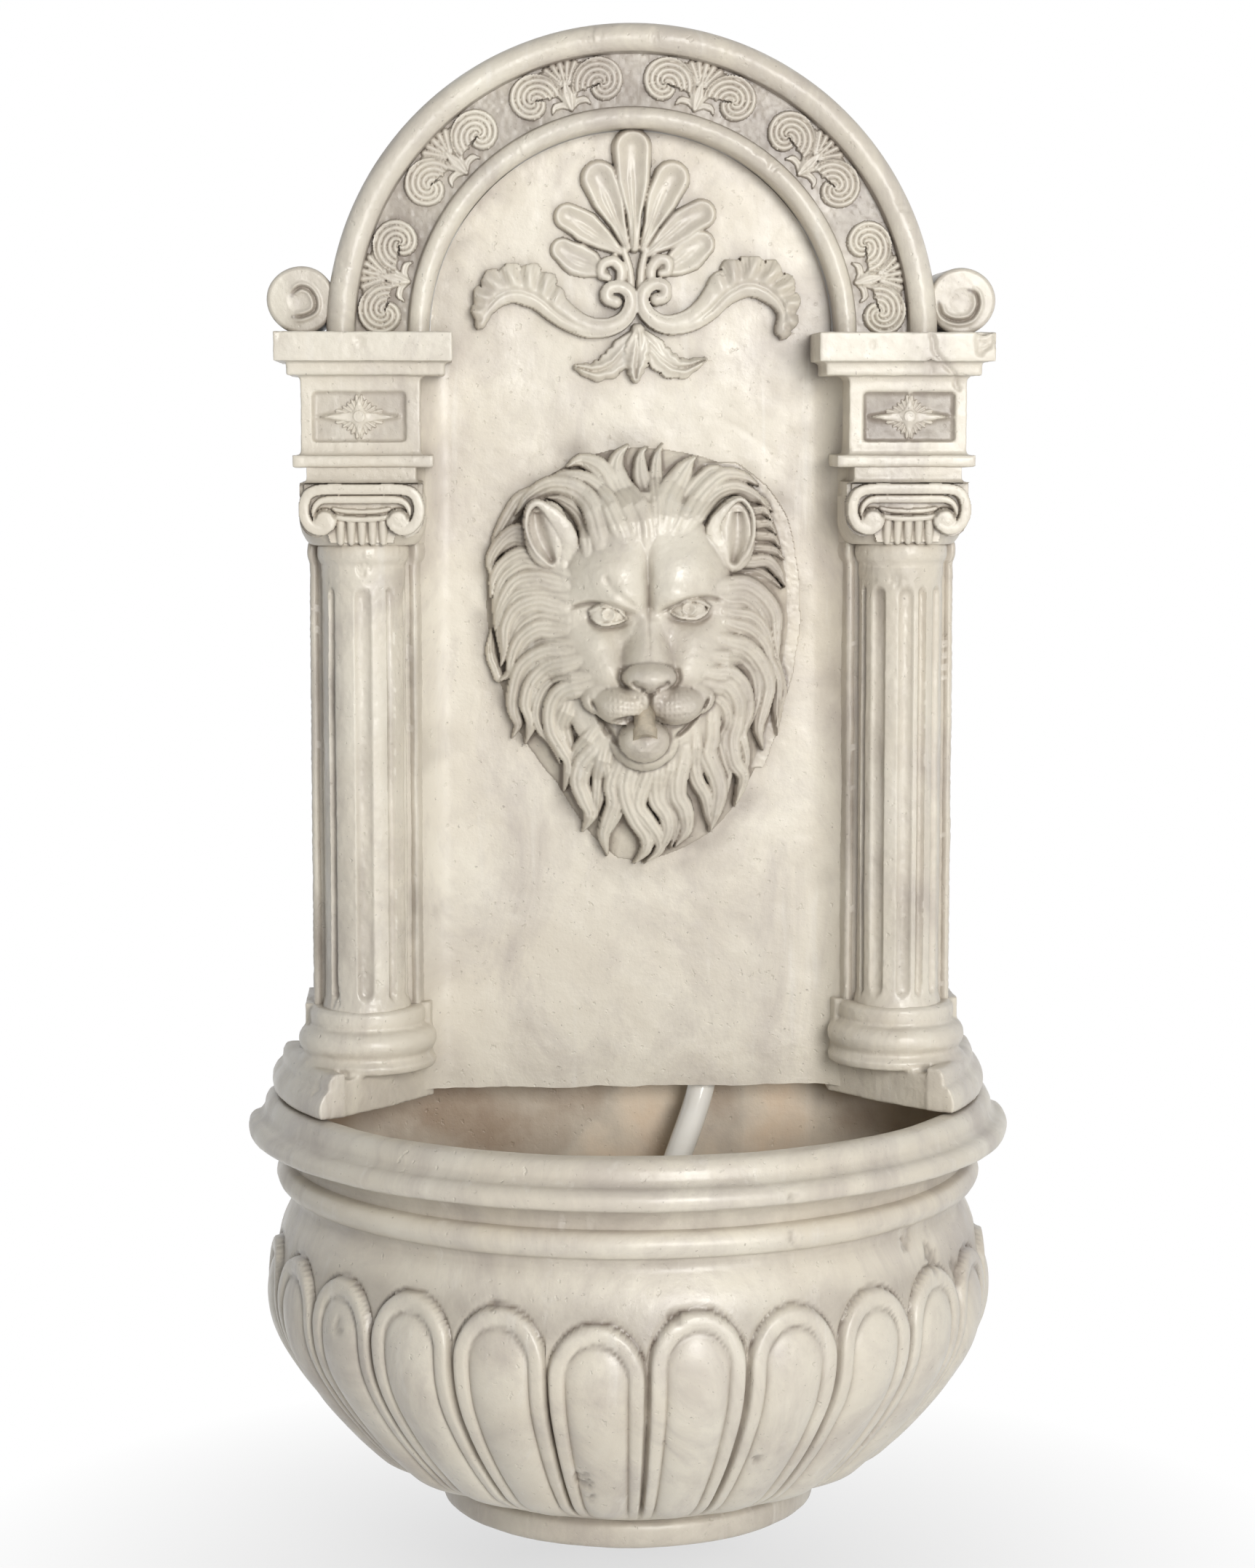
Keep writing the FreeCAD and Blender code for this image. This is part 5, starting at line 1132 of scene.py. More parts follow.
crest = {
    "core": (2, 656.8),
    "span": (-86, 86, -62, 92),
    "step": 0.55,
    "petals": [  # root to tip, half widths along it, how high it stands
        ([(-16, 7), (-24, 11.5), (-32, 15), (-38, 19)], [2.5, 7.5, 9.0, 6.5], 6.0),
        ([(13, 8), (20, 11.5), (27, 16.5), (34, 22)], [2.5, 7.0, 9.5, 7.5], 6.0),
        ([(-8, 18), (-18, 25), (-28, 32), (-35.5, 36)], [2.2, 6.0, 8.6, 7.2], 7.2),
        ([(6, 17), (16, 25), (26, 33), (34, 37.5)], [2.2, 6.0, 8.6, 8.0], 7.2),
        ([(-4.5, 20), (-9.5, 33), (-14.5, 45), (-19, 55.5)], [2.2, 4.4, 8.8, 9.8], 8.4),
        ([(3.5, 20), (8.6, 33), (13.4, 45), (18.5, 55.5)], [2.2, 4.4, 8.8, 9.8], 8.4),
        ([(-0.8, 20), (-1, 38), (-1.6, 56), (-2, 71)], [2.6, 4.2, 9.2, 10.6], 10.5),
    ],
    "stems": [
        ([(-2.5, -2), (-3.4, 9), (-6.5, 19)], [2.4, 2.2, 2.0], 5.5),
        ([(2.5, -2), (3.0, 9), (5.2, 19)], [2.4, 2.2, 2.0], 5.5),
        ([(-5.5, -1), (-7.5, 8), (-11, 16)], [2.0, 1.9, 1.6], 4.5),
        ([(6.5, 0), (7.5, 9), (9.5, 17)], [2.0, 1.9, 1.6], 4.5),
    ],
    "curls": [
        ([(-9, 0), (-7.5, 8), (-11.5, 13), (-17, 11.5), (-18, 6.5), (-14.5, 4.6)],
         [2.2, 2.9, 3.1, 2.9, 2.5, 2.2], 6.6),
        ([(8.5, 1), (8, 9), (12, 14), (16.5, 13), (16.5, 8), (13, 6.8)], [2.2, 2.9, 3.1, 2.9, 2.5, 2.2], 6.6),
    ],
    "arms": [
        ([(-10.5, -8), (-15, -6), (-14.5, -1.5), (-9, 0), (-3.4, -3.5), (-2.6, -10), (-6.5, -17), (-15, -21),
          (-26, -20.5), (-38, -14), (-50, -3.5), (-61, 0.3), (-71, -2), (-78, -10), (-80.5, -19)],
         [3.0, 2.9, 3.1, 3.4, 3.8, 4.2, 4.8, 5.4, 6.2, 7.4, 8.6, 8.0, 7.4, 5.2, 2.4]),
        ([(10.5, -6.5), (15, -5), (15, 0), (9.5, 1.5), (4.2, -2.5), (3.6, -9), (7.5, -15.5), (16, -19.5),
          (27.5, -17.5), (37, -11), (46, -1.5), (57, 4.0), (67, 2.2), (75.5, -5), (78.5, -14), (76.5, -22)],
         [3.0, 2.9, 3.1, 3.4, 3.8, 4.2, 4.8, 5.4, 6.2, 7.2, 8.2, 8.6, 8.0, 6.8, 4.4, 3.6]),
    ],
    "pendant": [
        ([(0.5, -24), (-5, -31), (-12, -39.5), (-21, -43.5), (-31, -41.5)], [2.5, 5.2, 5.6, 4.2, 1.4], 6.5),
        ([(2, -24), (8, -31), (15, -38.5), (24, -42), (36, -37.5)], [2.5, 5.2, 5.6, 4.0, 1.2], 6.5),
        ([(0.8, -23), (0.5, -34), (0, -42), (0, -47)], [2.2, 5.4, 5.6, 2.2], 8.5),
    ],
}


def crestHeights(x, z):
    u0, v0 = x - crest["core"][0], z - crest["core"][1]
    height = np.full(x.shape, -2.0)
    for line, widths, level in crest["petals"]:
        where, away, along, side = alongPatch(u0, v0, line, max(widths) + 1, 8)
        u = away / blendValues(widths, along)
        shell = level * np.clip(1 - u**5, 0, 1) ** 0.5
        scoop = np.exp(-((u / 0.62) ** 3)) * smoothStep(0.05, 0.5, along)
        shell -= 0.55 * level * scoop
        shell += 0.14 * level * bell((side * u - 0.12) / 0.16) * smoothStep(1.0, 0.55, along)
        shell *= 0.72 + 0.28 * along
        layOver(height, where, u < 1, shell)
    for line, widths, level in crest["stems"] + crest["curls"]:
        addRidge(height, u0, v0, line, widths, [level - 2] * len(line), 2.4, 0.4)
    for line, widths in crest["arms"]:
        where, away, along, side = alongPatch(u0, v0, line, max(widths) + 3, 8)
        side = side * (1 if line[-1][0] > 0 else -1)
        leafy = smoothStep(0.55, 0.68, along)
        saw = np.abs(np.mod(along * 17, 1) - 0.35)
        width = 1.15 * blendValues(widths, along) * (1 + np.where(side > 0, 0.42 - 0.62 * saw, -0.04) * leafy)
        u = away / width
        across = side * away
        body = 5.2 + 3.4 * crown(u, 0.6)
        flutes = np.sin(2 * math.pi * (along * 17 - 0.035 * across)) * 1.5 * leafy
        flutes = flutes * smoothStep(-0.3, 0.4, across / width)
        rib = -1.3 * bell((across / width + 0.25) / 0.18) * smoothStep(0.4, 0.55, along)
        rib = rib * smoothStep(1, 0.9, along)
        rim = 0.8 * smoothStep(0.72, 0.9, u) * smoothStep(0.5, 0.42, along) * smoothStep(0.0, 0.1, along)
        layOver(height, where, u < 1, body + flutes + rib + rim + 2.0 * smoothStep(0.8, 1.0, along))
    for centre in ((-10.5, -8), (10.5, -6.5)):
        height = raiseMass(height, u0, v0, 5, 3.6, centre, (3.4, 3.4), 0.5, 0.4)
    for line, widths, level in crest["pendant"]:
        where, away, along, side = alongPatch(u0, v0, line, max(widths) + 2, 8)
        saw = np.abs(np.mod(along * 6, 1) - 0.4)
        u = away / (1.2 * blendValues(widths, along) * (1.12 - 0.4 * saw * smoothStep(0.15, 0.4, along)))
        shape = level - 2.5 + 3.2 * crown(u, 0.6) - 1.5 * bell(u / 0.16)
        layOver(height, where, u < 1, shape + 0.6 * np.sin(side * u * 7 + along * 6))
    height = raiseMass(height, u0, v0, 5, 4.5, (1, -22), (3.6, 3.4), 0.5, 0.4)
    return height + np.where(height > 0, 0.18 * fractalNoise(x, z, 0.7, 4, 3, seed=21), 0)


def addCrest():
    x0, x1, z0, z1 = crest["span"]
    across, up = np.arange(x0, x1, crest["step"]), np.arange(z0, z1, crest["step"])
    x, z = np.meshgrid(across + crest["core"][0], up + crest["core"][1])
    return reliefPiece("crestCarving", x, z, crestHeights(x, z), nicheFace, nicheFace - 1)


finishCasting(addCrest(), "crest_ornament")


# Arch with its frieze

arch = {
    "centre": 632,
    "inner": 105.2,
    "innerRoll": (110.7, 51.5, 5.5),  # the middle's radius and depth, and the roll's own radius
    "outerRoll": (150.5, 52.5, 7.5),
    "outer": 158,
    "face": 50,
    "wall": 6,
    "rows": 760,
    "bosses": {"x": 112, "z": 702, "radius": 8, "back": 4.5, "front": 46, "hole": 2},
}
frieze = {
    "middle": 130,
    "span": (116, 143),
    "motifs": (-77, -46.2, -15.4, 15.4, 46.2, 77),
    "volute": (18.2, -1.2),
    "band": 2.9,
    "phase": 0.9,
    "turns": (-160, -125, -81, -37, 7, 51, 92, 124, 159, 200),  # how far the volute reaches at each turn
    "reach": (6.1, 7.5, 9.1, 10.2, 11.5, 12.7, 13.6, 13.9, 14.6, 16.2),
    "fan": [
        ((0.2, 1.5), (0.0, 12.2)), ((0.6, 1.5), (3.6, 12.0)),
        ((1.0, 1.0), (7.0, 11.2)), ((1.4, 0.6), (9.6, 9.4)),
    ],
    "leaves": [
        ([(13.5, 10.0), (8.5, 7.8), (4.6, 2.6), (2.4, -2.4)], [1.6, 1.7, 1.5, 0.9], 2.2),
        ([(0, -11), (0.4, -5), (0, 3.5)], [1.4, 2.9, 0.5], 3.0),
        ([(1, -9.5), (3.2, -3.5), (7.0, -1.0), (9.8, -3.0)], [1.2, 2.0, 2.0, 0.6], 2.4),
        ([(1.2, -10.5), (4.5, -8.0), (8.5, -8.0), (11.0, -10.5)], [1.0, 1.8, 1.8, 0.5], 2.0),
    ],
}


def friezeHeights(a, b):
    # one motif: a runs along the band from its middle, b outwards
    m = np.abs(a)
    height = np.zeros(a.shape)
    for (ax, az), (bx, bz) in frieze["fan"]:
        t = np.clip(((m - ax) * (bx - ax) + (b - az) * (bz - az)) / ((bx - ax) ** 2 + (bz - az) ** 2), 0, 1)
        away = np.hypot(m - ax - t * (bx - ax), b - az - t * (bz - az))
        w = 0.5 + 1.15 * t
        ray = 1.0 + 1.7 * crown(away / w, 0.6)
        height = np.where(away < w, np.maximum(height, ray), height)
    for line, widths, level in frieze["leaves"]:
        away, along, _ = nearLine(smoothLine(line, 5), m, b)
        w = blendValues(widths, along)
        shape = level - 0.9 + 1.2 * crown(away / w, 0.5) - 0.5 * bell(away / (0.25 * w))
        height = np.where(away < w, np.maximum(height, shape), height)
    dx, dz = m - frieze["volute"][0], b - frieze["volute"][1]
    turn = np.degrees(np.arctan2(dz, dx))
    turn = np.where(turn < -160, turn + 360, turn)
    reach = np.interp(turn, frieze["turns"], frieze["reach"])
    arm = np.hypot(dx, dz) / frieze["band"] - 4 * turn / 360  # four arms curl in side by side
    across = 2 * np.mod(arm - frieze["phase"], 1) - 1
    disc = 1.9 + 1.7 * crown(across, 0.55) + 0.5 * dome(dx, dz, (0, 0), (3, 3))
    return np.where((np.hypot(dx, dz) < reach) & (turn < 190), np.maximum(height, disc), height)


def friezeAt(theta, radius):
    # theta in degrees from straight up
    motif = np.array(frieze["motifs"])
    index = np.argmin(np.abs(theta[..., None] - motif), axis=-1)
    a = np.radians(theta - motif[index]) * frieze["middle"]
    return friezeHeights(a, radius - frieze["middle"])


def rollPoints(middle, start, end, count):
    radius, depth, reach = middle
    turn = np.radians(np.linspace(start, end, count))
    return np.column_stack([radius + reach * np.cos(turn), depth + reach * np.sin(turn)])


def archSection():
    inside, outside, face, wall = (arch[name] for name in ("inner", "outer", "face", "wall"))
    side = np.column_stack([np.full(14, inside), np.linspace(0, 50.5, 14)])
    front = np.column_stack([np.linspace(116.4, 142.8, 58), np.full(58, face)])
    outer = np.column_stack([np.full(12, outside), np.linspace(52, 0, 12)])
    hollow = [(outside - wall, 0), (outside - wall, face - wall), (inside + wall, face - wall)]
    hollow += [(inside + wall, 0), (inside, 0)]
    rolls = rollPoints(arch["innerRoll"], 180, 0, 15), rollPoints(arch["outerRoll"], 180, 0, 19)
    return np.vstack([side, rolls[0], front, rolls[1], outer, hollow])


def addArch():
    section = archSection()
    theta = np.linspace(-90, 90, arch["rows"])
    radius = np.tile(section[:, 0], (len(theta), 1))
    depth = np.tile(section[:, 1], (len(theta), 1))
    turn = np.tile(theta[:, None], (1, len(section)))
    onFace = (depth == arch["face"]) & (radius > frieze["span"][0]) & (radius < frieze["span"][1])
    relief = np.where(onFace, friezeAt(turn, radius), 0)
    x, z = radius * np.sin(np.radians(turn)), radius * np.cos(np.radians(turn)) + arch["centre"]
    outside = np.arange(len(section)) < len(section) - 5
    rough = 0.3 * fractalNoise(x, z, depth, 14, 3, seed=31)
    rough = rough + 0.12 * valueNoise(x / 2.2, z / 2.2, depth / 2.2, seed=33)
    shown = (depth > 2) * outside
    depth = depth + relief + rough * shown - 0.3 * onFace
    flat = np.column_stack([x.ravel(), -depth.ravel(), z.ravel()])
    depth = depth - chipAway(flat, archChips).reshape(depth.shape) * shown
    depth = np.minimum(depth, 60)
    ends = np.abs(np.abs(turn) - 90) < 1e-9
    z = np.where(ends, arch["centre"], z)
    piece = sheetMesh("archCasting", np.dstack([x, -depth, z]))
    # painted shade on the frieze's low ground between its raised forms and in its grooves
    band = (radius > 115.5) & (radius < 144) & (depth > 45)
    ground = 0.85 * smoothStep(1.6, 0.2, relief) + 1.6 * hollowness(relief, 1, 3)
    paintShadeAndWash(piece, np.clip(ground, 0, 1) * band)
    tidyMesh(piece)
    return piece


archChips = [
    ((-22, -58, 784), 7, 1.2),
    ((10, -60, 783), 5, 1.0),
    ((72, -56, 719), 6, 1.4),
    ((64, -56, 727), 4, 1.0),
    ((-150, -58, 668), 6, 0.8),
    ((-141, -58, 690), 5, 0.8),
    ((140, -58, 700), 6, 0.9),
    ((-60, -56, 726), 4, 0.8),
]


def addBoss(side):
    setting = arch["bosses"]
    deselectAll()
    length = setting["front"] - setting["back"]
    bpy.ops.mesh.primitive_cylinder_add(
        vertices=40,
        radius=setting["radius"] * mm,
        depth=length * mm,
        location=Vector((side * setting["x"], -(setting["back"] + length / 2), setting["z"])) * mm,
        rotation=(math.pi / 2, 0, 0),
        end_fill_type="NGON",
    )
    piece = bpy.context.object
    piece.name = sided("screwBoss", side)
    bpy.ops.object.transform_apply(location=True, rotation=True, scale=True)
    bpy.ops.object.mode_set(mode="EDIT")
    bpy.ops.mesh.select_mode(type="FACE")
    bpy.ops.mesh.select_all(action="DESELECT")
    bpy.ops.object.mode_set(mode="OBJECT")
    for face in piece.data.polygons:
        face.select = face.normal.y > 0.9
    bpy.ops.object.mode_set(mode="EDIT")
    bpy.ops.mesh.inset(thickness=(setting["radius"] - setting["hole"]) * mm)
    bpy.ops.mesh.extrude_region_move(TRANSFORM_OT_translate={"value": (0, -12 * mm, 0)})
    bpy.ops.object.mode_set(mode="OBJECT")
    applyModifier(piece, "BEVEL", width=0.4 * mm, segments=2, limit_method="ANGLE")
    return piece


finishCasting(addArch(), "arch_surround")
for side in (-1, 1):
    finishCasting(addBoss(side))


# Back panel

panel = {
    "shell": 4,
    "half": 112,
    "foot": 233,
    "head": 632,
    "top": 738,
    "radius": 104.8,
    "step": 1.5,
    "scratches": [  # long shallow lines in the surface
        [(-96, 523), (-88, 533), (-80, 543), (-72, 550)],
        [(-84, 486), (-78, 494), (-76, 500)],
        [(-60, 562), (-48, 574), (-34, 583)],
        [(34, 590), (52, 586), (66, 577), (80, 566)],
        [(60, 470), (74, 462), (90, 458)],
        [(-70, 330), (-50, 322), (-38, 308)],
        [(48, 344), (60, 352), (66, 366)],
    ],
}


def addPanel():
    step, half, foot, head = (panel[name] for name in ("step", "half", "foot", "head"))
    x, z = np.meshgrid(np.arange(-half, half + step / 2, step), np.arange(foot, panel["top"], step))
    low = foot + 1.2 * fractalNoise(x, 0.5, 0.5, 18, 3, seed=41) + 1.2
    z = np.where(z < low + step, np.maximum(z, low), z)
    over = z > head
    reach = np.hypot(x, z - head)
    fit = np.where(over & (reach > panel["radius"]), panel["radius"] / np.maximum(reach, 1), 1)
    keep = np.where(over, reach < panel["radius"] + 1.6 * step, True)
    px, pz = x * fit, np.where(over, head + (z - head) * fit, z)
    height = 0.55 * fractalNoise(px, pz, 0.5, 46, 3, seed=42)
    height = height + 0.22 * fractalNoise(px, pz, 0.5, 9, 3, seed=43) - 0.6
    for line in panel["scratches"]:
        where, away, along, _ = alongPatch(px, pz, line, 3, 5)
        fade = smoothStep(1, 0.7, along)
        height[where] -= 0.3 * bell(away / 1.2) * smoothStep(0, 0.3, along) * fade
    # it runs up to the columns
    height += 9 * np.clip((np.abs(px) - 95) / 17, 0, 1) ** 2 * smoothStep(head, head - 22, pz)
    # patchy painted shade along the sides where the panel runs up into the columns
    panelShade = 0.35 * smoothStep(0.1, 0.6, fractalNoise(px, pz, 0.5, 30, 3, seed=44))
    panelShade = panelShade * smoothStep(80, 108, np.abs(px))
    # painted shadow in a ring around the crest, the lion and the inside of the arch, in patches
    halo = boxBlur((crestHeights(x, z) > 0).astype(float), 3)
    halo = np.maximum(1.2 * halo, smoothStep(1.15, 1.0, outlineShare(x, z)))
    halo = np.maximum(halo, smoothStep(86, 104, np.where(over, reach, 0)))
    panelShade = np.maximum(panelShade, 0.6 * halo * smoothStep(-0.5, 0.4, fractalNoise(px, pz, 0.5, 16, 3, seed=47)))
    height = np.maximum(height, -0.8)
    piece = sheetMesh("backPanelFace", np.dstack([px, -(nicheFace + height), pz]))
    paintShadeAndWash(piece, panelShade)
    dropFaces(piece, keep, 4)
    bpy.ops.object.mode_set(mode="EDIT")
    bpy.ops.mesh.select_mode(type="FACE")
    bpy.ops.mesh.select_all(action="SELECT")
    bpy.ops.mesh.extrude_region_move(TRANSFORM_OT_translate={"value": (0, panel["shell"] * 0.8 * mm, 0)})
    bpy.ops.object.mode_set(mode="OBJECT")
    points = meshPoints(piece)
    points[:, 1] = np.where(points[:, 1] > -36.9, panel["shell"] - nicheFace, points[:, 1])
    setPoints(piece, points)
    tidyMesh(piece, fill=False)
    return piece


finishCasting(addPanel(), "back_panel")


# Castings that are softened copies of their solids

softened = {  # voxel size, rounds of smoothing, how uneven the face is
    "capital": (0.75, 3, 0.22),
    "column_base": (1.1, 2, 0.3),
    "entablature": (1.1, 2, 0.3),
}


def softCopy(nodeName, title):
    # a merged copy of a CAD node, remeshed so that its edges are rounded like a casting's
    kind = nodeName.rsplit("_", 1)[0]
    voxel, rounds, uneven = softened[kind]
    deselectAll()
    piece = bpy.data.objects.new(title, nodes[nodeName].data.copy())
    bpy.context.scene.collection.objects.link(piece)
    takeUp(piece)
    bpy.ops.object.mode_set(mode="EDIT")
    bpy.ops.mesh.select_all(action="SELECT")
    bpy.ops.mesh.remove_doubles(threshold=0.00001)
    bpy.ops.object.mode_set(mode="OBJECT")
    applyModifier(piece, "REMESH", mode="VOXEL", voxel_size=voxel * mm)
    applyModifier(piece, "SMOOTH", factor=0.5, iterations=rounds)
    points = meshPoints(piece)
    low, high = points[:, 2].min(), points[:, 2].max()
    middle = (low + high) / 2
    stretch = 1 + 1.8 / (high - low)  # no seam shows between castings
    points[:, 2] = middle + (points[:, 2] - middle) * stretch
    setPoints(piece, points)
    return piece, uneven


def roughen(piece, uneven, seed, chips):
    # shallow waves and dents along the normals; the back stays flat on the wall
    points = meshPoints(piece)
    normals = np.zeros(len(points) * 3, np.float32)
    piece.data.vertex_normals.foreach_get("vector", normals)
    x, y, z = points.T
    move = uneven * fractalNoise(x, y, z, 11, 3, seed=seed)
    move += 0.35 * uneven * valueNoise(x / 1.9, y / 1.9, z / 1.9, seed=seed + 5)
    if chips:
        move -= chipAway(points, chips)
    move -= uneven
    move *= smoothStep(-0.5, -3.0, y)
    points += normals.reshape(-1, 3) * move[:, None]
    points[:, 1] = np.minimum(points[:, 1], 0)
    setPoints(piece, points)
    takeUp(piece)
    bpy.ops.object.shade_smooth()


pieceChips = {
    "entablature_right": [((178, -82, 628), 7, 2.2), ((150, -84, 614), 5, 1.5), ((120, -84, 626), 4, 1.2)],
    "entablature_left": [((-180, -80, 628), 6, 2.0), ((-140, -84, 626), 4, 1.2), ((-110, -84, 612), 4, 1.2)],
    "column_left": [((-140, -78, 512), 7, 1.4), ((-122, -72, 430), 4, 1.2), ((-120, -70, 330), 5, 1.2),
                    ((-158, -70, 290), 6, 1.4)],
    "column_right": [((134, -78, 505), 5, 1.3), ((158, -70, 400), 4, 1.2), ((126, -74, 300), 5, 1.4),
                     ((150, -76, 292), 5, 1.4)],
    "column_base_left": [((-168, -92, 246), 6, 0.9), ((-120, -96, 262), 5, 0.9)],
    "column_base_right": [((176, -84, 244), 6, 0.9), ((130, -98, 252), 6, 1.0)],
}


# Columns

column = {
    "x": 140,
    "slab": 52,  # how far the flat pilaster behind the shaft stands out
    "radius": 22.5,
    "middle": 55,
    "foot": 281,
    "top": 525,
    "inset": -34.9,
    "jamb": 38,
    "corner": [(28, 50), (27.2, 52), (25.5, 52.4), (23.6, 51)],  # round the pilaster's edge to the shaft
    "flutes": {  # turn from straight ahead towards the right, and half width
        -1: [(-50, 2.6), (0, 4.5), (41, 2.8), (78, 2.6)],
        1: [(-70, 2.2), (-40, 4.2), (0, 4.2), (24, 2.3), (50, 2.8)],
    },
    "fluteSpan": (288, 502),
    "fluteDepth": 2.4,
}


def addColumn(side):
    radius, middle, slab, jamb = (column[name] for name in ("radius", "middle", "slab", "jamb"))
    start = math.asin((slab - middle) / radius)
    turn = np.linspace(math.pi - start, start, 120)
    z = np.linspace(column["foot"], column["top"], 200)[:, None]
    bead = np.sqrt(np.clip(1 - ((z - 520) / 5.2) ** 2, 0, 1))
    swell = 1.4 * smoothStep(289, 282, z) + 2.0 * bead + 0.4 * smoothStep(505, 509, z)
    reach = radius - 1.0 + swell + 0 * turn
    low, high = column["fluteSpan"]
    for angle, half in column["flutes"][side]:
        across = radius * (turn - math.radians(90 - side * angle))
        past = np.maximum(np.maximum(z - (high - half), (low + half) - z), 0)
        gap = np.hypot(across + 0 * z, past) / half
        reach = reach - column["fluteDepth"] * crown(gap, 0.6)
    # the section runs up the niche side, over the shaft, down the outside and along the wall
    inset, corner = column["inset"], column["corner"]
    inner = [(inset, k) for k in np.linspace(0, jamb, 12)] + [(inset + 3, jamb + 1), (-30, 44), (-28.6, 47)]
    inner += [(-a, k) for a, k in corner]
    outer = corner[::-1] + [(corner[0][0], k) for k in np.linspace(46, 0, 14)]
    push = 1.2 * bead
    edges = [[(a + way * push, k + push * (k > jamb)) for a, k in rows]
             for rows, way in ((inner, -1), (outer, 1), ([(inset, 0)], -1))]
    u, d = (np.hstack([e[k] for e in edges[0]] + [shaft] + [e[k] for e in edges[1] + edges[2]])
            for k, shaft in enumerate((reach * np.cos(turn), middle + reach * np.sin(turn))))
    x = side * (column["x"] + u)
    zz = z + 0 * u
    rough = 0.4 * fractalNoise(x, zz / 2.2, d, 13, 3, seed=51 + side)
    rough = rough + 0.2 * valueNoise(x / 2, zz / 2, d / 2, seed=53)
    flat = np.column_stack([x.ravel(), -d.ravel(), zz.ravel()])
    bite = chipAway(flat, pieceChips["column_left" if side < 0 else "column_right"]).reshape(x.shape)
    away = np.hypot(u, d - middle)
    grow = np.where(d > 3, rough - bite, 0) / np.maximum(away, 1)
    x = x + side * u * grow
    d = d + (d - middle) * grow
    points = np.dstack([x, -np.maximum(d, 0), zz])
    hub = np.array([side * (column["x"] - 4), -26.0, 0.0])  # the ends close on a point inside the section
    foot, top = (np.tile(hub + (0, 0, column[name]), (1, x.shape[1], 1)) for name in ("foot", "top"))
    piece = sheetMesh(sided("columnShaft", side), np.vstack([foot, points, top]))
    smear = smoothStep(-0.1, 0.6, fractalNoise(x, zz / 4, d, 16, 3, seed=57 + side))
    cut = radius - 1.0 + swell - reach
    first, last = len(inner), len(inner) + len(turn)
    # painted shade where the shaft meets the pilaster and in the flutes, with random smears of grey wash over
    # it
    wash = np.full(x.shape, 0.1)
    wash[:, first - 2 : first] = wash[:, last : last + 2] = 0.55
    wash[:, first:last] = np.clip(0.12 * cut + 0.6 * hollowness(-cut, 1, 3), 0, 1)
    wash = np.clip(wash * (0.4 + 0.9 * smear) + 0.35 * smear * (zz < 512), 0, 1)
    paintShadeAndWash(piece, np.vstack([wash[:1], wash, wash[-1:]]))
    tidyMesh(piece, fill=False)
    return piece


# Scrolls of the capitals

capital = {
    "x": 140,
    "back": 77,
    "bands": [  # a scroll's bands from the middle out and round to the eye
        ([(0, 553), (18, 553), (26, 551), (29, 545.5), (28.8, 539), (25.5, 533.8), (20, 532), (16, 534)],
         [2.7, 2.7, 2.8, 2.7, 2.7, 2.8, 2.8, 2.2], 8.0, 1.0),
        ([(0, 547.8), (16, 547.8), (21.5, 546.4), (24, 543), (24, 539.6), (22.6, 537.6)],
         [2.1, 2.1, 2.1, 1.9, 1.4, 0.8], 6.6, 1.2),
        ([(0, 537.6), (8, 538), (14, 539)], [1.5, 1.5, 1.4], 5.6, 1.2),
        ([(0, 541.4), (8, 541.8), (14, 542.8)], [1.3, 1.3, 1.2], 4.2, 1.0),
    ],
    "eye": (18.6, 537, 6.0),
    "ribs": 5.4,
}


def capitalHeights(x, z):
    # half of a scroll capital's face, laid out over the distance from its middle
    m = np.abs(x)
    height = np.full(x.shape, -2.0)
    height[(m < 29) & (z > 533) & (z < 555.6)] = 3.0
    height[(m < 15.5 + 0.35 * (z - 524)) & (z > 525.3) & (z < 540)] = 2.2
    for k in range(3):
        rib = [(k * capital["ribs"], up) for up in (526, 530, 535.8)]
        addRidge(height, m, z, rib, [1.9, 2.3, 2.4], [2.0, 2.6, 3.4], 2.2, 0.2)
    for line, widths, level, rise in capital["bands"]:
        addRidge(height, m, z, line, widths, [level] * len(line), rise, 0.3, 0.35)
    ex, ez, reach = capital["eye"]
    eye = 7.6 + 1.4 * dome(m, z, (ex, ez), (reach, reach), 0.3)
    height = np.where(eye > 7.6, np.maximum(height, eye), height)
    hook = [(ex + a, ez + b) for a, b in ((5.4, 0.5), (4.2, 3.6), (1.0, 5.6), (-3.4, 4.6), (-5.8, 1.0))]
    cutGroove(height, m, z, hook, [0.7, 0.7, 0.7, 0.7, 0.6], 3.2)
    return height + np.where(height > 0, 0.2 * fractalNoise(x, z, 0.4, 5, 3, seed=61), 0)


def addCapitalFace(side):
    x, z = np.meshgrid(np.arange(-33, 33.1, 0.45), np.arange(523, 558, 0.45))
    height, back = capitalHeights(x, z), capital["back"]
    return reliefPiece(sided("capitalFace", side), x + side * capital["x"], z, height, back, back - 3)


# Leaf rosettes on the entablatures

rosette = {"x": 141, "z": 589.7, "half": (18.6, 12.2), "back": 72.3, "step": 0.33}


def rosetteHeights(x, z):
    a, b = rosette["half"]
    turn = np.arctan2(z, x)
    serrate = 1 + 0.07 * np.cos(22 * turn)
    u = ((np.abs(x) / a) ** 0.8 + (np.abs(z) / b) ** 0.8) / serrate
    r = np.hypot(x, z)
    veins = 0.3 * np.cos(22 * turn) * smoothStep(2.5, 6, r)
    height = np.where(u < 1, 0.9 + 1.2 * np.clip(1 - u, 0, 1) ** 0.5 + veins, -1)
    height += np.where(u < 1, 0.9 * bell(x / 0.9) * smoothStep(b, 3, np.abs(z)), 0)
    height -= np.where(u < 1, 0.55 * bell(z / 0.45) * smoothStep(a, 10, np.abs(x)), 0)
    ring = 2.6 + 0.7 * crown(r - 2.3, 0.5) - 1.1 * np.clip(1 - (r / 1.5) ** 2, 0, 1)
    return np.where(r < 3.3, ring, height)


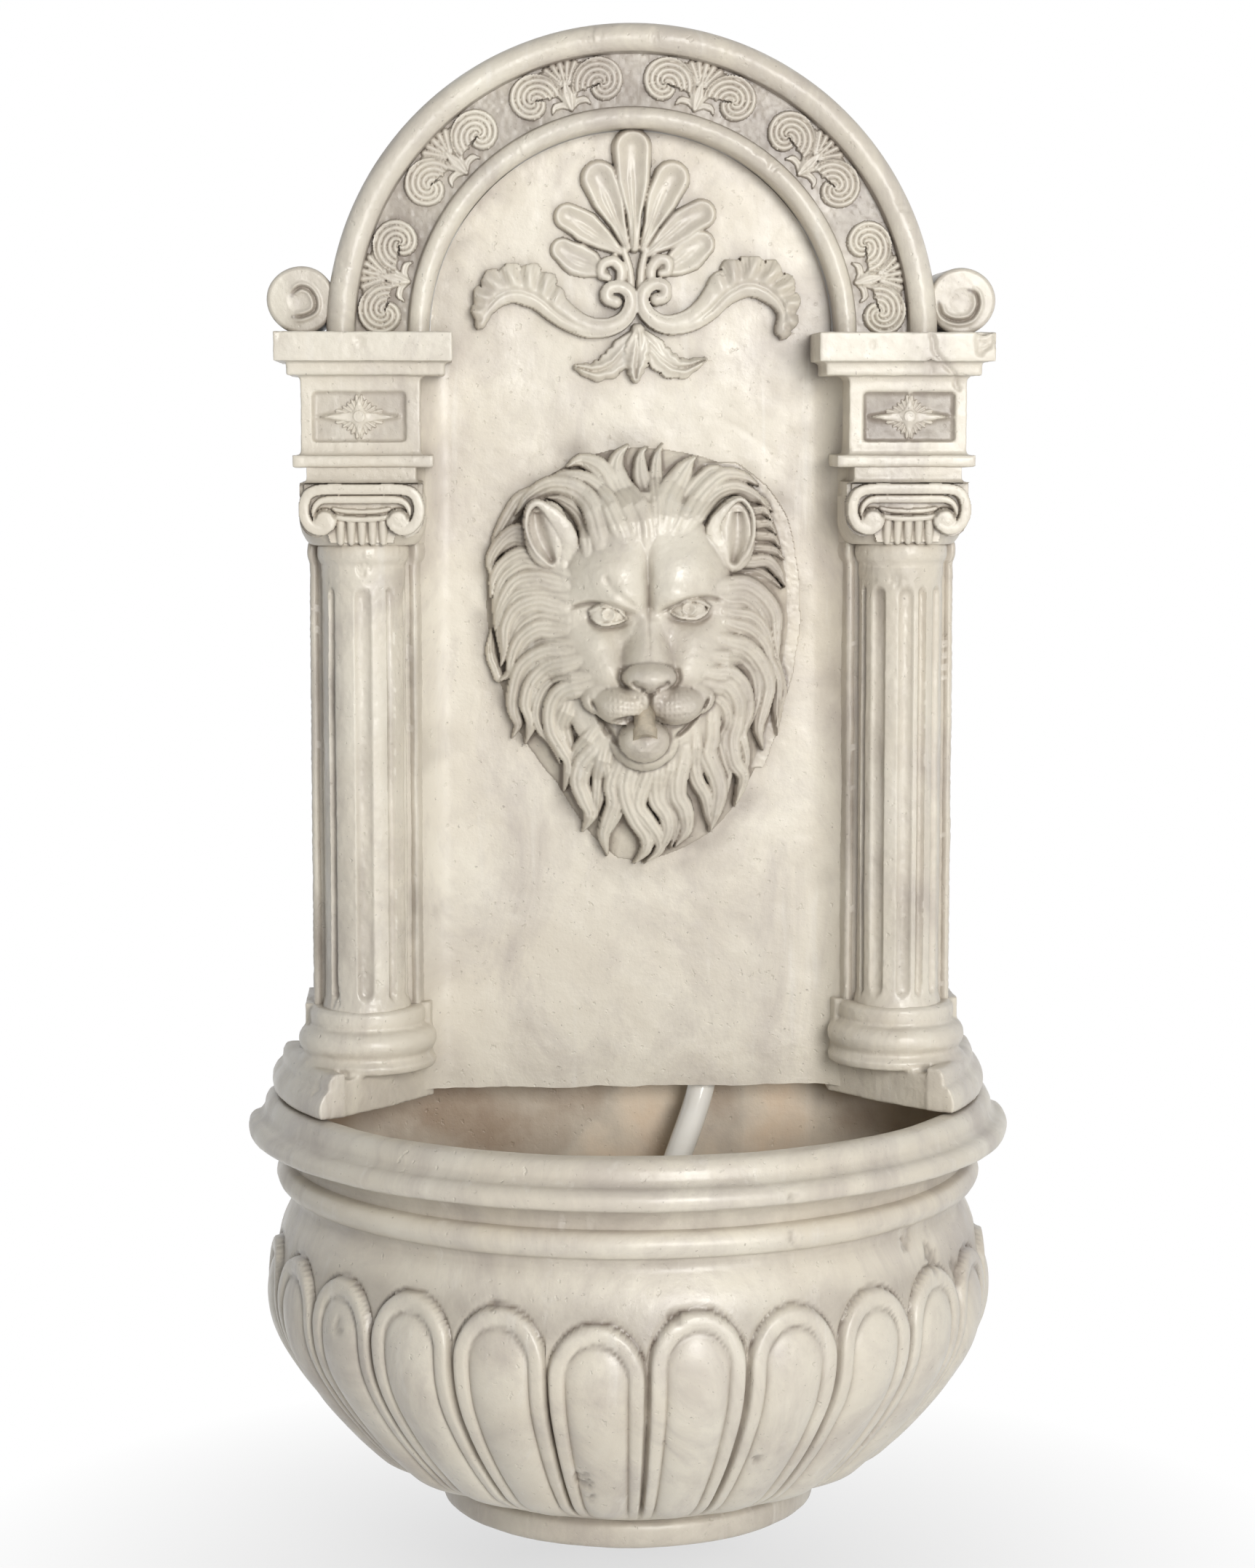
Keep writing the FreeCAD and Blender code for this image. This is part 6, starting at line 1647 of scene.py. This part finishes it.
def addRosette(side):
    step, back = rosette["step"], rosette["back"]
    x, z = np.meshgrid(np.arange(-20, 20, step), np.arange(-13.5, 13.5, step))
    height = rosetteHeights(x, z) + 0.12 * fractalNoise(x, z, 0.3, 3, 2, seed=66 + side)
    x, z = x + side * rosette["x"], z + rosette["z"]
    return reliefPiece(sided("rosette", side), x, z, height, back, back - 0.8)


# Foot volutes

footVolute = {
    "x": 171,
    "z": 649.3,
    "radius": 17.3,
    "front": 54,
    "edge": 2.2,
    "curls": {  # the cut scroll line on each face, from the disc's middle
        -1: [(4.2, -8.7), (-1.5, -8.2), (-6.8, -5.3), (-7.4, 0), (-4.5, 4.9), (0, 6.4), (3.8, 3.8),
             (4.5, 1.9)],
        1: [(-12.5, -0.4), (-10.2, -7.2), (-3.4, -10.2), (4.2, -8.7), (8, -2.6), (7.2, 3.4), (3.4, 5.7)],
    },
}


def addFootVolute(side):
    radius, front, edge = footVolute["radius"], footVolute["front"], footVolute["edge"]
    path = [(r, front) for r in np.linspace(0, radius - edge, 44)]
    path += [(radius - edge + edge * math.sin(a), front - edge + edge * math.cos(a))
             for a in np.linspace(0.2, math.pi / 2, 7)]
    path += [(radius, d) for d in np.linspace(front - 4, 0, 22)] + [(0, 0)]
    path = np.array(path)
    turn = np.linspace(0, 2 * math.pi, 150)[:, None]
    r, d = path[:, 0][None, :], path[:, 1][None, :] + 0 * turn
    r = r * (1 + 0.012 * np.sin(3 * turn + side))
    x, z = r * np.cos(turn), r * np.sin(turn)
    away, along, _ = nearLine(smoothLine(footVolute["curls"][side], 8), side * x, z)
    faced = d > front - 0.01
    fade = smoothStep(0, 0.12, along) * smoothStep(1, 0.85, along)
    d = d - np.where(faced, 1.9 * bell(away / 0.8) * fade, 0)
    lip = 0.7 * bell(away - 1.9) * fade
    d = d + np.where(faced, lip - 0.7 * dome(side * x, z, (0, 0), (7, 7), 1), 0)
    x, z = x + side * footVolute["x"], z + footVolute["z"]
    d = d + (0.35 * fractalNoise(x, z, d, 9, 3, seed=71 + side) - 0.3) * (d > 2)
    piece = sheetMesh(sided("footVolute", side), np.dstack([x, -d, z]))
    # painted shade in the cut scroll line and on the disc's side
    paintShadeAndWash(piece, np.clip(1.1 * bell(away) * faced + 0.2 * (~faced), 0, 1))
    tidyMesh(piece, fill=False)
    return piece


cornice = {"crack": [(150, -86, 631), (153, -86, 622), (158, -85, 616), (163, -81, 611), (166, -80, 604)]}


def crackAway(points, line, width, depth):
    # a ragged diagonal crack down the front
    path = smoothLine(np.array(line, float)[:, [0, 2]], 5)
    ragged = points[:, 0] + 1.6 * valueNoise(points[:, 2] / 3, 0.5, 0.5, seed=8)
    away, _, _ = nearLine(path, ragged, points[:, 2])
    return depth * bell(away / width) * (points[:, 1] < -70)


# Every upright's pieces

for nodeName in (kind + end for kind in softened for end in ("_left", "_right")):
    first, *words = nodeName.split("_")
    piece, uneven = softCopy(nodeName, first + "".join(w.capitalize() for w in words) + "Casting")
    if "capital" in nodeName:
        points = meshPoints(piece)
        points[:, 1] = np.where(points[:, 2] < 556, np.maximum(points[:, 1], -capital["back"]), points[:, 1])
        setPoints(piece, points)
    if "entablature" in nodeName:
        points = meshPoints(piece)
        # painted shade in the recess round the rosette, darker on the right
        sunk = smoothStep(24, 23, np.abs(np.abs(points[:, 0]) - rosette["x"]))
        sunk *= smoothStep(13, 12, np.abs(points[:, 2] - rosette["z"]))
        sunk *= smoothStep(-74.2, -73.4, points[:, 1]) * smoothStep(-68, -70, points[:, 1])
        paintShadeAndWash(piece, sunk * (0.95 if "right" in nodeName else 0.4))
    if nodeName == "entablature_right":
        points = meshPoints(piece)
        points[:, 1] += crackAway(points, cornice["crack"], 0.9, 1.6)
        setPoints(piece, points)
    roughen(piece, uneven, len(nodeName), pieceChips.get(nodeName, ()))
    finishCasting(piece, nodeName)

for side, end in ((-1, "left"), (1, "right")):
    finishCasting(addColumn(side), "column_" + end)
    finishCasting(addFootVolute(side), "foot_volute_" + end)
    finishCasting(addCapitalFace(side))
    finishCasting(addRosette(side))


# the solids that stand behind the castings have the castings' finish
plain = [finish.name for finish in finishes.values()]
for piece in nodes.values():
    if not piece.data.materials or piece.data.materials[0].name not in plain:
        piece.data.materials.clear()
        piece.data.materials.append(castIvory)
